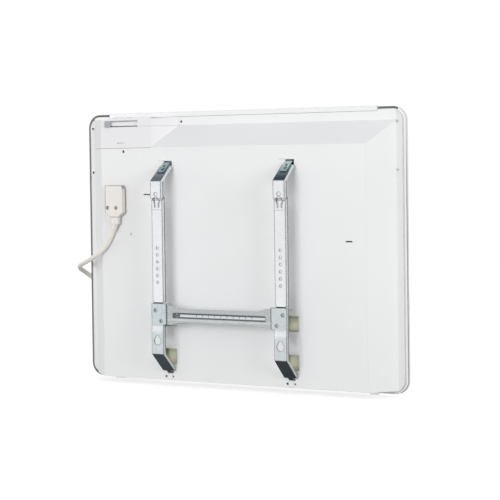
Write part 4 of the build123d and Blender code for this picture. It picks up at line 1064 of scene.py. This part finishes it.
def raise_print(shape, x):
    """Lift a flat mark to its place on a key."""
    low = key_top - print_sink
    flat = list(shape.faces)
    made = bmesh.ops.extrude_face_region(shape, geom=flat, use_keep_orig=True)
    lifted = [item for item in made["geom"] if isinstance(item, bmesh.types.BMVert)]
    bmesh.ops.translate(shape, verts=lifted, vec=(0, 0, print_sink + print_depth))
    bmesh.ops.translate(shape, verts=shape.verts, vec=(x, key_middle, low))


def minus_mark(material):
    """A minus on the first key."""
    shape = bmesh.new()
    bmesh.ops.create_grid(shape, x_segments=1, y_segments=1, size=1)
    bmesh.ops.scale(shape, verts=shape.verts, vec=(print_reach, print_half, 1))
    raise_print(shape, minus_place)
    finished_piece(shape, "minus_mark", material, "minus_key")


def plus_mark(material):
    """A plus on the second key, from a grid of nine faces less its corners."""
    shape = bmesh.new()
    bmesh.ops.create_grid(shape, x_segments=3, y_segments=3, size=1)
    corners = []
    for face in shape.faces:
        middle = face.calc_center_median()
        if min(abs(middle.x), abs(middle.y)) > 0.5:
            corners.append(face)
    bmesh.ops.delete(shape, geom=corners, context="FACES")
    for vert in shape.verts:
        for axis in (0, 1):
            reach = print_reach if abs(vert.co[axis]) > 0.5 else print_half
            vert.co[axis] = math.copysign(reach, vert.co[axis])
    raise_print(shape, plus_place)
    finished_piece(shape, "plus_mark", material, "plus_key")


def mode_mark(material):
    """A plain ring on the third key."""
    shape = bmesh.new()
    bmesh.ops.create_circle(shape, segments=ring_steps, radius=ring_radius)
    made = bmesh.ops.extrude_edge_only(shape, edges=list(shape.edges))
    inner = [item for item in made["geom"] if isinstance(item, bmesh.types.BMVert)]
    bmesh.ops.scale(shape, verts=inner, vec=(ring_hole, ring_hole, 1))
    raise_print(shape, mode_place)
    finished_piece(shape, "mode_mark", material, "mode_key")


def plug_profile():
    """Half section of the plug, from the cord's end to the middle of its face."""
    points = [(0, 0), (0, tail_tip_radius), (tail_round, tail_radius)]
    for start in tail_grooves:
        for run, depth in groove_section:
            along = start + run
            points.append((along, tail_radius + tail_slope * along - depth))
    points.append((tail_length, neck_radius))
    for along in (grip_start, grip_end):
        points.append((along, neck_radius + grip_slope * (along - tail_length)))
    points.extend(plug_head)
    return [(plug_start + along, plug_side, plug_axis + out) for along, out in points]


def grip_panels(shape):
    """Every second face round the plug's grip."""
    low, high = plug_start + grip_start, plug_start + grip_end
    panels = []
    for face in shape.faces:
        middle = face.calc_center_median()
        turn = math.atan2(middle.z - plug_axis, middle.y - plug_side) + math.pi
        side = int(turn / (2 * math.pi) * plug_sides)
        if low < middle.x < high and side % 2:
            panels.append(face)
    return panels


def mains_plug(material):
    """Round plug with a grooved tail and ribs round its grip."""
    shape = bmesh.new()
    turn_profile(shape, plug_profile(), (0, plug_side, plug_axis), (1, 0, 0), plug_sides)
    bmesh.ops.recalc_face_normals(shape, faces=shape.faces)
    bmesh.ops.inset_individual(shape, faces=grip_panels(shape), thickness=rib_edge, depth=-rib_depth)
    plug = finished_piece(shape, "mains_plug", material, "heater")
    for face in plug.data.polygons:
        face.use_smooth = True
    plug.data.set_sharp_from_angle(angle=sharp_angle)
    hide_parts("plug_body")


def coil_band(material):
    """Band round the coil, with its lapped end on top."""
    shape = bmesh.new()
    bmesh.ops.create_cube(shape, size=1)
    size = [high - low for low, high in zip(tie_low, tie_high)]
    middle = [(high + low) / 2 for low, high in zip(tie_low, tie_high)]
    bmesh.ops.scale(shape, verts=shape.verts, vec=size)
    bmesh.ops.translate(shape, verts=shape.verts, vec=middle)
    ends = [face for face in shape.faces if abs(face.normal.y) > 0.9]
    across = [edge for edge in shape.edges if abs(edge.verts[0].co.y - edge.verts[1].co.y) > size[1] / 2]
    bmesh.ops.delete(shape, geom=ends, context="FACES_ONLY")
    bmesh.ops.bevel(
        shape, geom=across, offset=tie_corner, offset_type="OFFSET", segments=tie_corner_steps,
        profile=0.5, affect="EDGES", material=-1,
    )
    bmesh.ops.recalc_face_normals(shape, faces=shape.faces)
    bmesh.ops.solidify(shape, geom=list(shape.faces), thickness=tie_sheet)
    shape.normal_update()
    outside = tie_high[2] - tie_sheet / 4
    top = [face for face in shape.faces if face.calc_center_median().z > outside]
    bmesh.ops.inset_region(shape, faces=top, thickness=tie_lap_edge, depth=tie_lap)
    band = finished_piece(shape, "coil_band", material, "heater")
    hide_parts("coil_tie")


studio()
finishes = dress()
# The bosses are the white coat in a painted grey shade, standing in for their shading.
pressed_marks(coated("boss_shaded_white", boss_shade_tone))
key_print = coated("key_print", (0.05, 0.05, 0.055))
for key_mark in (minus_mark, plus_mark, mode_mark):
    key_mark(key_print)
mains_plug(finishes["plug_body"])
coil_band(finishes["coil_tie"])
cord = mains_cord(finishes["power_cord"])
